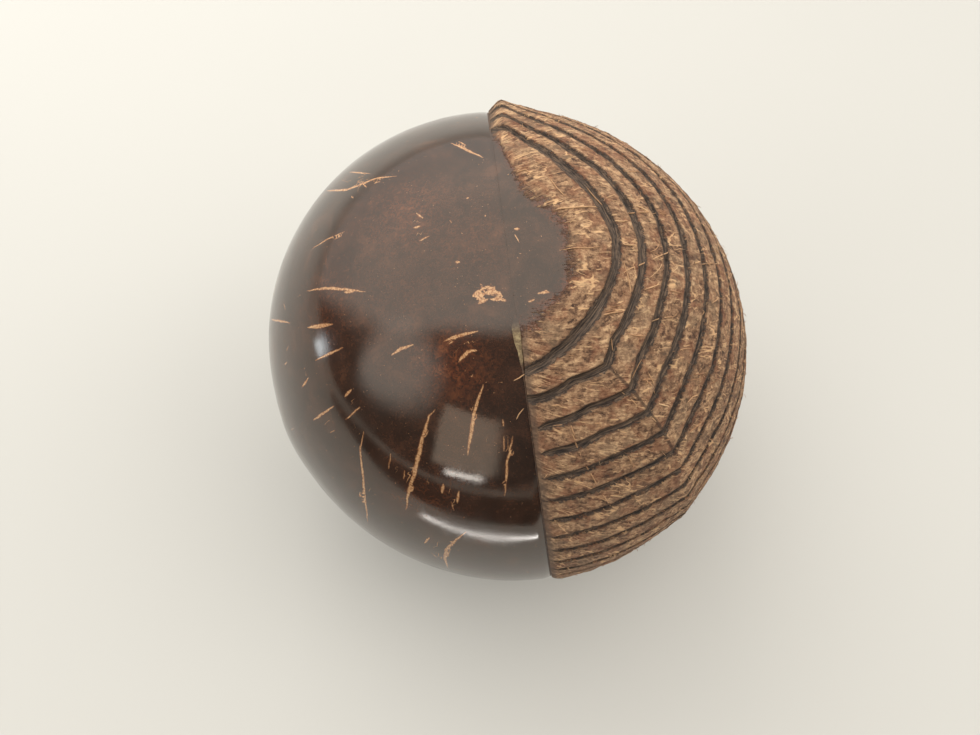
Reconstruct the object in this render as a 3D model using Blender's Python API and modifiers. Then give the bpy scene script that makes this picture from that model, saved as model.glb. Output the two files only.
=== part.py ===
"""Hand-held rattle made from a whole coconut shell: one half sanded and lacquered, the other half
left rough and carved, glued along a flat seam, with loose seeds inside. Metres, +Z up.

The origin is the middle of the small flat that the shell rests on. +X points to the carved half,
-Y to the front, where the blunt tip of the nut leans.
"""

import math

import bmesh
import bpy
from mathutils import Matrix, Vector

# ---------------------------------------------------------------- driving dimensions
MEAN_RADIUS = 0.060        # the nut is about 120 mm across
OVAL = 0.016               # share by which the nut is longer one way than the other
OVAL_AT = 145.6            # degrees around the nut's axis
WALL = 0.0045              # shell thickness
PROUD = 0.0006             # the rough half keeps its skin, so it stands this much higher

AXIS_LEAN_FRONT = 13.6     # how far the nut's axis leans to -Y, degrees
AXIS_LEAN_SIDE = 1.6       # and to -X

# the three seams of the nut, which show as ridges from the tip: angle around the axis, height, half width
RIDGE_TOP = (92.0, 0.0020, 0.0036)
RIDGE_RIGHT = (-40.0, 0.0007, 0.0045)
RIDGE_LEFT = (205.0, 0.0004, 0.0080)
ROUGH_RIDGES = (RIDGE_TOP, RIDGE_RIGHT)  # the rough half keeps these
SANDED_RIDGES = (RIDGE_LEFT,)            # on the polished half sanding has left only a trace of one

SEAM_NORMAL = (0.9898, 0.1094, 0.0913)   # points from the polished half to the carved half
SEAM_OFFSET = 0.0042                     # distance of the seam plane from the nut's middle
FILLER = 0.0008                          # thickness of the glue and filler line
JOINT_GAP = 0.0003                       # clearance on each side of it

REST_RADIUS = 0.015        # flat that the shell stands on

EYE_AROUND = 149.5         # the pierced soft eye, around the axis
EYE_FROM_AXIS = 14.0       # and away from the stem end
EYE_RADIUS = 0.0052
PLUG_GAP = 0.0003
PLUG_TAPER = 0.0004
PLUG_LENGTH = 0.0056

SEED_RADII = (0.00330, 0.00315, 0.00300)  # half length, width and height of a seed
SEED_PITCH = 0.0076
SEED_RINGS = 2
SEED_CLEAR = 0.0006        # seed to wall

AROUND, ALONG = 48, 24     # facets of the nut
SEED_AROUND, SEED_ALONG = 10, 7

CENTRE_Z = math.sqrt(MEAN_RADIUS ** 2 - REST_RADIUS ** 2)
CENTRE = Vector((0.0, 0.0, CENTRE_Z))


# ---------------------------------------------------------------- frames
def nut_rotation():
    """Turns the nut's own frame, with its tip at +Z, to the way it lies."""
    front, side = math.radians(AXIS_LEAN_FRONT), math.radians(AXIS_LEAN_SIDE)
    return Matrix.Rotation(-side, 3, "Y") @ Matrix.Rotation(front, 3, "X")


NUT = nut_rotation()
SEAM = Vector(SEAM_NORMAL).normalized()


def nut_radius(direction, proud, ridges):
    """Distance of the skin from the nut's middle, along a unit vector in the nut's own frame."""
    flat = math.hypot(direction.x, direction.y)
    around = math.atan2(direction.y, direction.x)
    r = MEAN_RADIUS * (1.0 + OVAL * flat ** 2 * math.cos(2.0 * (around - math.radians(OVAL_AT))))
    for angle, height, half_width in ridges:
        turn = around - math.radians(angle)
        if math.cos(turn) > 0.0:
            away = MEAN_RADIUS * flat * math.sin(turn) / half_width
            r += height * min(1.0, flat / 0.5) * math.exp(-away * away)
    return r + proud


# ---------------------------------------------------------------- scene
def start_scene():
    for ob in list(bpy.data.objects):
        bpy.data.objects.remove(ob, do_unlink=True)
    for old in list(bpy.data.collections):
        bpy.data.collections.remove(old)
    made = []
    for name in ("coconut_shaker", "coconut_shaker_cutters"):
        made.append(bpy.data.collections.new(name))
        bpy.context.scene.collection.children.link(made[-1])
    return made


PARTS, CUTTERS = start_scene()


def new_object(name, mesh, collection):
    ob = bpy.data.objects.new(name, mesh)
    collection.objects.link(ob)
    return ob


def finish(ob, colour, roughness):
    """Gives an object its own material and smooth shading."""
    mat = bpy.data.materials.new("mat_" + ob.name)
    mat.use_nodes = True
    shader = mat.node_tree.nodes["Principled BSDF"]
    shader.inputs["Base Color"].default_value = (*colour, 1.0)
    shader.inputs["Roughness"].default_value = roughness
    shader.inputs["Metallic"].default_value = 0.0
    ob.data.materials.clear()
    ob.data.materials.append(mat)
    ob.data.shade_smooth()
    ob.data.set_sharp_from_angle(angle=math.radians(40.0))


frame = bpy.data.objects.new("shaker_frame", None)
frame.empty_display_size = 0.02
frame.location = CENTRE
PARTS.objects.link(frame)


# ---------------------------------------------------------------- cutters
def half_space(name, point, outward):
    """A block that takes away everything past a plane."""
    size = 0.2
    bm = bmesh.new()
    bmesh.ops.create_cube(bm, size=size)
    mesh = bpy.data.meshes.new(name)
    bm.to_mesh(mesh)
    bm.free()
    ob = new_object(name, mesh, CUTTERS)
    turn = Vector(outward).to_track_quat("Z", "Y")
    ob.rotation_mode = "QUATERNION"
    ob.rotation_quaternion = turn
    ob.location = Vector(point) + Vector(outward).normalized() * size / 2
    ob.hide_render = True
    ob.display_type = "WIRE"
    return ob


def seam_point(offset):
    return CENTRE + SEAM * (SEAM_OFFSET + offset)


HALF = FILLER / 2
cut_right = half_space("cut_right_of_seam", seam_point(-HALF - JOINT_GAP), SEAM)
cut_left = half_space("cut_left_of_seam", seam_point(HALF + JOINT_GAP), -SEAM)
cut_right_of_filler = half_space("cut_right_of_filler", seam_point(HALF), SEAM)
cut_left_of_filler = half_space("cut_left_of_filler", seam_point(-HALF), -SEAM)
cut_floor = half_space("cut_floor", (0.0, 0.0, 0.0), (0.0, 0.0, -1.0))


def eye_direction():
    """Unit vector from the nut's middle to the pierced eye, near the stem end."""
    away, around = math.radians(EYE_FROM_AXIS), math.radians(EYE_AROUND)
    own = Vector((math.sin(away) * math.cos(around), math.sin(away) * math.sin(around), -math.cos(away)))
    return own, NUT @ own


EYE_OWN, EYE = eye_direction()


def eye_drill():
    bm = bmesh.new()
    bmesh.ops.create_cone(bm, cap_ends=True, segments=24, radius1=EYE_RADIUS, radius2=EYE_RADIUS, depth=0.02)
    mesh = bpy.data.meshes.new("cut_eye")
    bm.to_mesh(mesh)
    bm.free()
    ob = new_object("cut_eye", mesh, CUTTERS)
    ob.rotation_mode = "QUATERNION"
    ob.rotation_quaternion = EYE.to_track_quat("Z", "Y")
    ob.location = CENTRE + EYE * MEAN_RADIUS
    ob.hide_render = True
    ob.display_type = "WIRE"
    return ob


cut_eye = eye_drill()


def cut(ob, cutter):
    mod = ob.modifiers.new(cutter.name, "BOOLEAN")
    mod.operation = "DIFFERENCE"
    mod.solver = "EXACT"
    mod.object = cutter


# ---------------------------------------------------------------- the shell
def nut_shell(name, proud, ridges, cutters):
    """The nut's skin, thickened inwards and then cut."""
    bm = bmesh.new()
    bmesh.ops.create_uvsphere(bm, u_segments=AROUND, v_segments=ALONG, radius=1.0)
    for v in bm.verts:
        d = v.co.normalized()
        v.co = d * nut_radius(d, proud, ridges)
    bmesh.ops.recalc_face_normals(bm, faces=bm.faces)
    mesh = bpy.data.meshes.new(name)
    bm.to_mesh(mesh)
    bm.free()
    ob = new_object(name, mesh, PARTS)
    ob.parent = frame
    ob.rotation_mode = "QUATERNION"
    ob.rotation_quaternion = NUT.to_quaternion()
    wall = ob.modifiers.new("wall", "SOLIDIFY")
    wall.thickness = WALL + proud
    wall.offset = -1.0
    wall.use_even_offset = False
    for cutter in cutters:
        cut(ob, cutter)
    return ob


polished = nut_shell("polished_half_shell", 0.0, SANDED_RIDGES, (cut_right, cut_floor, cut_eye))
finish(polished, (0.036, 0.015, 0.010), 0.12)

carved = nut_shell("carved_half_shell", PROUD, ROUGH_RIDGES, (cut_left, cut_floor))
finish(carved, (0.36, 0.19, 0.085), 0.85)

filler = nut_shell("seam_filler", 0.0, SANDED_RIDGES, (cut_right_of_filler, cut_left_of_filler, cut_floor))
finish(filler, (0.22, 0.16, 0.09), 0.7)


# ---------------------------------------------------------------- the plug in the pierced eye
def eye_plug():
    """A short tapered peg, turned, with an eased rim, its outer end level with the skin."""
    top = PLUG_LENGTH / 2
    rim = EYE_RADIUS - PLUG_GAP
    small = rim - PLUG_TAPER
    profile = [
        (0.0, top),
        (rim * 0.55, top - 0.00008),
        (rim - 0.0006, top - 0.0002),
        (rim - 0.00012, top - 0.0005),
        (rim, top - 0.0010),
        (small, -top + 0.0004),
        (small - 0.0004, -top),
        (0.0, -top),
    ]
    mesh = bpy.data.meshes.new("eye_plug")
    mesh.from_pydata([(x, 0.0, z) for x, z in profile], [(i, i + 1) for i in range(len(profile) - 1)], [])
    ob = new_object("eye_plug", mesh, PARTS)
    ob.parent = frame
    ob.rotation_mode = "QUATERNION"
    ob.rotation_quaternion = EYE.to_track_quat("Z", "Y")
    skin = nut_radius(EYE_OWN, 0.0, SANDED_RIDGES)
    ob.location = EYE * (skin - top)
    turn = ob.modifiers.new("turn", "SCREW")
    turn.axis = "Z"
    turn.angle = math.tau
    turn.steps = 24
    turn.render_steps = 24
    turn.use_merge_vertices = True
    turn.merge_threshold = 0.00001
    turn.use_normal_calculate = True
    return ob


plug = eye_plug()
finish(plug, (0.16, 0.085, 0.040), 0.6)


# ---------------------------------------------------------------- the loose seeds
def seed_spots():
    """Directions from the nut's middle to the seeds: rings of a hexagon laid over the bottom of the hollow."""
    reach = MEAN_RADIUS - WALL - max(SEED_RADII) - SEED_CLEAR
    spots = []
    for ring in range(SEED_RINGS + 1):
        for side in range(6 if ring else 1):
            for step in range(ring if ring else 1):
                a = math.radians(60.0 * side + 12.0)
                b = math.radians(60.0 * (side + 1) + 12.0)
                share = step / ring if ring else 0.0
                x = ring * ((1 - share) * math.cos(a) + share * math.cos(b))
                y = ring * ((1 - share) * math.sin(a) + share * math.sin(b))
                x, y = x * SEED_PITCH, y * SEED_PITCH
                spots.append(CENTRE + Vector((x, y, -math.sqrt(reach ** 2 - x * x - y * y))))
    return spots


def seed(number, spot):
    name = f"seed_{number:02d}"
    bm = bmesh.new()
    bmesh.ops.create_uvsphere(bm, u_segments=SEED_AROUND, v_segments=SEED_ALONG, radius=1.0)
    turn = Matrix.Rotation(2.4 * number, 3, "Z") @ Matrix.Rotation(0.35 * math.sin(1.7 * number), 3, "X")
    for v in bm.verts:
        v.co = turn @ Vector([c * r for c, r in zip(v.co, SEED_RADII)])
    mesh = bpy.data.meshes.new(name)
    bm.to_mesh(mesh)
    bm.free()
    ob = new_object(name, mesh, PARTS)
    ob.location = spot
    shade = 0.85 + 0.15 * math.sin(2.1 * number)
    finish(ob, (0.055 * shade, 0.040 * shade, 0.032 * shade), 0.35)
    return ob


for count, place in enumerate(seed_spots(), start=1):
    seed(count, place)
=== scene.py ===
"""Looks of the coconut-shell shaker: a sanded and lacquered half, a rough carved half, the filler line
between them, the plug in the pierced eye and the loose seeds. Lengths are worked out in millimetres
and turned into metres when a mesh is made.
"""

import math

import bmesh
import bpy
import numpy as np
from mathutils import Matrix, Vector


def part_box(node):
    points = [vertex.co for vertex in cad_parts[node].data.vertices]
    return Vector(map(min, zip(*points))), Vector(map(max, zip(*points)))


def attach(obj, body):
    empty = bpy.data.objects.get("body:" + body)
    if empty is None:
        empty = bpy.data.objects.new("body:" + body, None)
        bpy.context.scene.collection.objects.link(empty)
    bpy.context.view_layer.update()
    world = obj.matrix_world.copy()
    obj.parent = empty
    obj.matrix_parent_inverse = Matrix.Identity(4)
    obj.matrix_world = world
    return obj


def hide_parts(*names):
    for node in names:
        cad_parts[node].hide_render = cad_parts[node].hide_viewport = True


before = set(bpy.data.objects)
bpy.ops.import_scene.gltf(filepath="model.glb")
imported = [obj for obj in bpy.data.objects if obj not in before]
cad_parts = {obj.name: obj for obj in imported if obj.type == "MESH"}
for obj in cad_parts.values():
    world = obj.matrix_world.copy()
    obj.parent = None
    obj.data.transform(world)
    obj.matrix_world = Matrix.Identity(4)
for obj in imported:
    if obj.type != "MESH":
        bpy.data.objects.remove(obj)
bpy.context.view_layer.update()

rng = np.random.default_rng(20)

# ---------------------------------------------------------------- the nut (as in the frame)
R = 60.0
OVAL, OVAL_AT = 0.016, math.radians(145.6)
WALL = 4.5
PROUD = 0.6
REST = 15.0
C = np.array([0.0, 0.0, math.sqrt(R * R - REST * REST)])
NUT = np.array(Matrix.Rotation(math.radians(-1.6), 3, "Y") @ Matrix.Rotation(math.radians(13.6), 3, "X"))
N = np.array([0.9898, 0.1094, 0.0913])
N /= np.linalg.norm(N)
AX = NUT[:, 2] - (NUT[:, 2] @ N) * N
AX /= np.linalg.norm(AX)
BX = np.cross(AX, N)
SEAM = C + 4.2 * N
HALF_GAP = 0.15           # half the width of the filler line
EYE_AROUND, EYE_AWAY, EYE_R = math.radians(149.5), math.radians(14.0), 5.2

# ---------------------------------------------------------------- the camera
FOCAL, PX, PY = 715.0, 490.0, 367.5
CAM = C + np.array([-3.824, -73.540, 176.962])
PITCH = math.radians(69.0)
FWD = np.array([0.0, math.cos(PITCH), -math.sin(PITCH)])
UP = np.array([0.0, math.sin(PITCH), math.cos(PITCH)])
RIGHT = np.array([1.0, 0.0, 0.0])


# ---------------------------------------------------------------- small maths
def smooth(lo, hi, x):
    q = np.clip((np.asarray(x, float) - lo) / (hi - lo), 0.0, 1.0)
    return q * q * (3.0 - 2.0 * q)


def unit(v):
    return v / np.linalg.norm(v, axis=-1, keepdims=True)


def hash01(ix, iy, iz, seed):
    h = (ix * 374761393 + iy * 668265263 + iz * 1440662683 + seed * 974634599) & 0xFFFFFFFF
    h = ((h ^ (h >> 13)) * 1274126177) & 0xFFFFFFFF
    h = ((h ^ (h >> 16)) * 2246822519) & 0xFFFFFFFF
    return ((h ^ (h >> 15)) & 0xFFFF) / 65535.0


def vnoise(p, seed):
    """Smooth value noise in -1 to 1 at points p (n, 3)."""
    p = np.asarray(p, float)
    i = np.floor(p).astype(np.int64)
    f = p - i
    f = f * f * f * (f * (f * 6.0 - 15.0) + 10.0)
    total = np.zeros(len(p))
    for dx in (0, 1):
        for dy in (0, 1):
            for dz in (0, 1):
                w = (f[:, 0] if dx else 1 - f[:, 0]) * (f[:, 1] if dy else 1 - f[:, 1]) * (f[:, 2] if dz else 1 - f[:, 2])
                total += w * hash01(i[:, 0] + dx, i[:, 1] + dy, i[:, 2] + dz, seed)
    return total * 2.0 - 1.0


def soft_table(pairs, sigma):
    """A smooth curve through pairs (x in degrees from -90 to 90, y)."""
    xs, ys = np.array(sorted(pairs), float).T
    grid = np.arange(-130.0, 130.01, 0.5)
    lo = ys[0] + (grid - xs[0]) * (ys[1] - ys[0]) / (xs[1] - xs[0])
    hi = ys[-1] + (grid - xs[-1]) * (ys[-1] - ys[-2]) / (xs[-1] - xs[-2])
    y = np.where(grid < xs[0], lo, np.where(grid > xs[-1], hi, np.interp(grid, xs, ys)))
    k = np.exp(-0.5 * (np.arange(-40, 41) * 0.5 / sigma) ** 2)
    y = np.convolve(y, k / k.sum(), "same")
    return lambda x: np.interp(x, grid, y)


# ---------------------------------------------------------------- the nut's surface
def own(d):
    """Angle around the nut's axis and angle from its tip, of unit vectors from its middle."""
    o = d @ NUT
    return np.arctan2(o[..., 1], o[..., 0]), np.arccos(np.clip(o[..., 2], -1.0, 1.0))


def body_radius(d):
    o = d @ NUT
    flat2 = o[..., 0] ** 2 + o[..., 1] ** 2
    return R * (1.0 + OVAL * flat2 * np.cos(2.0 * (np.arctan2(o[..., 1], o[..., 0]) - OVAL_AT)))


def reach(start, d, leaving=True):
    """How far unit rays d go from start to the nut's body."""
    oc = start - C
    b = np.sum(d * oc, axis=-1)
    c0 = np.sum(oc * oc, axis=-1)
    r = np.full(d.shape[:-1], R)
    s = np.zeros(d.shape[:-1])
    for _ in range(10):
        root = np.sqrt(np.maximum(b * b - c0 + r * r, 0.0))
        s = -b + root if leaving else -b - root
        p = oc + s[..., None] * d
        r = body_radius(unit(p))
    return s


def lune_dir(phi, theta, side):
    """Unit vectors from the seam's middle: phi -90 to 90 across the half, theta from the tip to the stem end."""
    p, t = np.radians(phi)[..., None], np.radians(theta)[..., None]
    return np.sin(t) * (np.cos(p) * side * N + np.sin(p) * BX) + np.cos(t) * AX


def lune_of(points, side):
    v = unit(points - SEAM)
    return np.degrees(np.arctan2(v @ BX, side * (v @ N))), np.degrees(np.arccos(np.clip(v @ AX, -1, 1)))


def from_view(px):
    """Where the sight lines through picture points px meet the nut."""
    px = np.atleast_2d(np.array(px, float))
    d = unit((px[:, :1] - PX) / FOCAL * RIGHT - (px[:, 1:] - PY) / FOCAL * UP + FWD)
    return CAM + reach(np.broadcast_to(CAM, d.shape), d, False)[:, None] * d


def fibre_coords(phi, theta):
    """Coordinates across and along the fibres of a half, in mm."""
    t = np.radians(theta)
    return np.stack([np.radians(phi) * R * np.sin(t), R * t, 0.0 * t], -1)


def seam_edge(theta, near_side):
    """How much the sanded edge beside the seam is rounded, 0 to 1: not at all in the lacquer beside the tip."""
    far = 0.2 * smooth(34.0, 44.0, theta) + 0.8 * smooth(52.0, 76.0, theta)
    return np.where(near_side, smooth(6.0, 13.0, theta), far)


def slow_wave(p):
    """Slow unevenness that hand sanding leaves, in mm."""
    flat = p.reshape(-1, 3)
    return (0.07 * vnoise(flat / 17.0, 11) + 0.015 * vnoise(flat / 5.0, 12)).reshape(p.shape[:-1])


def eye_at(around, away=EYE_AWAY):
    o = np.array([math.sin(away) * math.cos(around), math.sin(away) * math.sin(around), -math.cos(away)])
    return NUT @ o


EYE = eye_at(EYE_AROUND)
EYE_2 = eye_at(EYE_AROUND - math.radians(112.0), math.radians(16.0))
EYE_3 = eye_at(EYE_AROUND + math.radians(112.0), math.radians(13.0))

# ---------------------------------------------------------------- the carved pattern
GROOVES = 19
FIRST = soft_table([(90, 41.6), (86, 41.4), (79, 36.3), (65.4, 31.5), (55, 28.9), (44, 26.7), (34, 25.1), (24, 23.1), (15, 21.0),
                    (4.6, 18.7), (-8.6, 16.0), (-27, 14.0), (-42, 13.1), (-61, 12.6), (-90, 13.5)], 3.0)
STEP = soft_table([(90, 5.6), (65, 6.0), (45, 6.6), (5, 6.5), (-45, 6.25), (-90, 5.25)], 6.0)
PATCH = soft_table([(90, 40.0), (87, 34.5), (84.5, 28.6), (81.8, 24.2), (74.1, 21.8), (61.7, 19.5), (50.8, 17.8), (38.7, 15.2),
                    (23.9, 12.6), (5, 9.8), (-12.9, 7.7), (-27.2, 6.3), (-55.2, 6.9), (-90, 6.2)], 2.5)


def kink_at(t):
    return -40.3 - 1.5 * np.minimum(t, 8.0) - 0.8 * np.maximum(t - 8.0, 0.0)


def groove_theta(phi, t):
    """Angle from the tip of the pattern line t, which is a groove where t is whole."""
    first, step = FIRST(phi), STEP(phi)
    last = first + 11.0 * step
    theta = np.where(t < 1.0, first * t,
                     np.where(t < 12.0, first + (t - 1.0) * step, last + (180.0 - last) * (t - 12.0) / 14.0))
    k = kink_at(t)
    tent = np.where(phi > k, 1.0 - (phi - k) / 13.0, 1.0 - (k - phi) / 18.0)
    fade = smooth(1.3, 2.2, t) * (1.0 - smooth(11.0, 19.0, t))
    flat = np.stack([phi / 9.0, t * 1.3, np.zeros_like(t)], -1).reshape(-1, 3)
    wobble = 0.16 * vnoise(flat, 3).reshape(t.shape) * smooth(0.3, 1.0, t) * (1.0 - smooth(20.0, 24.0, t))
    return theta + 2.05 * np.maximum(tent, 0.0) * fade + wobble


# ---------------------------------------------------------------- fibre marks in the lacquered surface
# picture points along each mark, then its half width in mm
MARKS = [
    ([(326, 191), (347, 190), (362, 184), (377, 178), (398, 176)], 0.36),
    ([(349, 172), (371, 174)], 0.22),
    ([(450, 143), (461, 147), (471, 152), (484, 158)], 0.34),
    ([(312, 249), (328, 239), (346, 231)], 0.20),
    ([(306, 291), (326, 288), (352, 290), (367, 292)], 0.30),
    ([(307, 327.5), (320, 326), (334, 324)], 0.42),
    ([(271, 319.5), (291, 323)], 0.30),
    ([(443, 342), (457, 336), (479, 331)], 0.34),
    ([(391, 356), (401, 349), (415, 344)], 0.30),
    ([(458, 363), (467, 352), (478, 350)], 0.38),
    ([(436, 409), (429, 416), (422, 440), (415, 471), (408, 494), (406, 511)], 0.44),
    ([(484, 383), (474, 413), (470, 440), (467, 457)], 0.36),
    ([(364.5, 430), (360, 450), (363, 476), (364.5, 495), (368, 523)], 0.33),
    ([(336, 405), (326, 412), (314, 420)], 0.30),
    ([(362, 406), (346, 419.5)], 0.20),
    ([(345, 347), (329, 354), (315, 361)], 0.26),
    ([(310, 377), (303, 387)], 0.26),
    ([(353, 388.5), (346, 397)], 0.30),
    ([(443, 483), (442, 494)], 0.34),
    ([(459, 490), (457, 504)], 0.30),
    ([(467, 531), (455, 541), (446, 550), (445, 559), (448, 568)], 0.42),
    ([(430, 537), (424, 543.5)], 0.28),
    ([(513, 435), (507, 464), (505, 497)], 0.26),
    ([(415, 212), (424, 219)], 0.15),
    ([(413, 228), (421, 226)], 0.24),
    ([(418, 241), (430, 236)], 0.15),
    ([(455, 262), (460, 262)], 0.34),
    ([(466, 198), (469, 198)], 0.20),
    ([(405, 470), (403, 480)], 0.14),
    ([(391, 452), (388, 470)], 0.13),
    ([(476, 300), (486, 293), (497, 291)], 0.62),
    ([(472, 297), (481, 290)], 0.46),
    ([(484, 286), (493, 289), (503, 297)], 0.52),
    ([(490, 300), (499, 298), (507, 301)], 0.40),
    ([(477, 304), (489, 299)], 0.36),
    ([(495, 286), (492, 296)], 0.26),
    ([(480, 283), (486, 295)], 0.22),
    ([(514, 229), (520, 229)], 0.36),
    ([(507, 191), (511, 189)], 0.30),
    ([(553, 232), (557, 231)], 0.30),
    ([(537, 294), (545, 291), (552, 293)], 0.42),
    ([(527, 302), (535, 299)], 0.22),
    ([(520, 262), (524, 260)], 0.16),
    ([(536, 246), (540, 243)], 0.16),
]


def picture_marks():
    marks = []
    for px, half in MARKS:
        px = np.array(px, float)
        along = np.concatenate([[0.0], np.cumsum(np.linalg.norm(np.diff(px, axis=0), axis=1))])
        many = np.linspace(0.0, along[-1], max(3, int(along[-1] / 5.0) + 2))
        fine = np.stack([np.interp(many, along, px[:, 0]), np.interp(many, along, px[:, 1])], -1)
        marks.append((from_view(fine), half))
        # slivers that split off beside the longer marks
        dice = np.random.default_rng(int(px[0, 0] * 7 + px[0, 1]))
        for _ in range(int(along[-1] / 36.0)):
            at, long = dice.uniform(0.1, 0.75), dice.uniform(5.0, 11.0) / along[-1]
            part = np.linspace(at, min(1.0, at + long), 4) * along[-1]
            side = dice.choice([-1.0, 1.0]) * dice.uniform(2.6, 5.0)
            run = np.stack([np.interp(part, along, px[:, 0]), np.interp(part, along, px[:, 1])], -1)
            go = unit(run[-1] - run[0])
            run = run + np.array([-go[1], go[0]]) * (side + np.linspace(0.0, dice.uniform(-1.5, 1.5), 4))[:, None]
            marks.append((from_view(run), dice.uniform(0.10, 0.20)))
    return marks


def random_marks(count, keep):
    """More marks of the same kind where the picture shows none, mostly along the fibres."""
    marks = []
    while len(marks) < count:
        d = unit(rng.normal(size=3))
        if not keep(d):
            continue
        around, away = own(d)
        south = NUT @ np.array([math.cos(away) * math.cos(around), math.cos(away) * math.sin(around), -math.sin(away)])
        east = np.cross(d, south)
        turn = rng.normal(0.0, 0.38)
        length = rng.choice([rng.uniform(2.0, 5.0), rng.uniform(5.0, 18.0)], p=[0.7, 0.3])
        heading = math.cos(turn) * south + math.sin(turn) * east
        bend = rng.normal(0.0, 0.012)
        pts, p = [], d.copy()
        for i in range(6):
            pts.append(C + p * body_radius(p))
            side = np.cross(p, heading)
            heading = unit(heading + bend * side * length / 5.0)
            p = unit(p + heading * length / 5.0 / R)
        marks.append((np.array(pts), rng.uniform(0.12, 0.26) + 0.012 * length))
    return marks


def mark_coords(points, normals, marks):
    """Each point's place in the nearest mark: along (0 to 1), across (mm) and the mark's half width there (mm)."""
    n = len(points)
    best = np.full(n, 1e9)
    along = np.zeros(n)
    across = np.full(n, 4.0)
    width = np.full(n, -2.0)
    tint = np.zeros(n)
    for line, half in marks:
        mid, span = line.mean(0), np.linalg.norm(line[-1] - line[0])
        near = np.where(np.sum((points - mid) ** 2, -1) < (span * 0.62 + 3.5) ** 2)[0]
        if not len(near):
            continue
        p = points[near]
        seg = np.diff(line, axis=0)
        length = np.linalg.norm(seg, axis=1)
        total = length.sum()
        start = np.concatenate([[0.0], np.cumsum(length)[:-1]])
        d_best = np.full(len(p), 1e9)
        u_best, v_best = np.zeros(len(p)), np.zeros(len(p))
        shade = rng.uniform(0.0, 1.0)
        for k in range(len(seg)):
            t_dir = seg[k] / length[k]
            rel = p - line[k]
            u = rel @ t_dir
            lo = -1e9 if k == 0 else 0.0
            hi = 1e9 if k == len(seg) - 1 else length[k]
            uc = np.clip(u, lo, hi)
            dist = np.linalg.norm(rel - np.clip(u, 0.0, length[k])[:, None] * t_dir, axis=1)
            cross_dir = np.cross(normals[near], t_dir)
            v = np.sum((rel - uc[:, None] * t_dir) * cross_dir, -1)
            take = dist < d_best
            d_best = np.where(take, dist, d_best)
            u_best = np.where(take, start[k] + uc, u_best)
            v_best = np.where(take, v, v_best)
        better = (d_best < best[near]) & (d_best < 3.2)
        idx = near[better]
        best[idx] = d_best[better]
        q = u_best[better] / total
        inside = np.sin(np.pi * np.clip(q, 0.0, 1.0)) ** 0.65
        past = np.maximum(np.maximum(-q, q - 1.0), 0.0) * total
        along[idx] = q
        across[idx] = v_best[better]
        width[idx] = half * inside - past
        tint[idx] = shade
    return along, across, width, tint


# ---------------------------------------------------------------- meshes
def make_mesh(name, points_mm, faces):
    mesh = bpy.data.meshes.new(name)
    mesh.from_pydata((np.asarray(points_mm) * 0.001).tolist(), [], faces)
    mesh.update()
    return mesh


def make_object(name, mesh):
    ob = bpy.data.objects.new(name, mesh)
    bpy.context.scene.collection.objects.link(ob)
    return ob


def put(mesh, name, values):
    values = np.asarray(values, np.float32)
    if values.ndim == 2:
        mesh.attributes.new(name, "FLOAT_VECTOR", "POINT").data.foreach_set("vector", values.ravel())
    else:
        mesh.attributes.new(name, "FLOAT", "POINT").data.foreach_set("value", values)


def edge_steps():
    """Extra columns close to the seam, in degrees from it."""
    return np.array([0.0, 0.12, 0.26, 0.42, 0.62, 0.88, 1.2, 1.6, 2.1])


def columns(step):
    near = edge_steps()
    middle = np.linspace(-90.0 + 2.7, 90.0 - 2.7, int(174.6 / step))
    return np.concatenate([-90.0 + near, middle, (90.0 - near)[::-1]])


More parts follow.
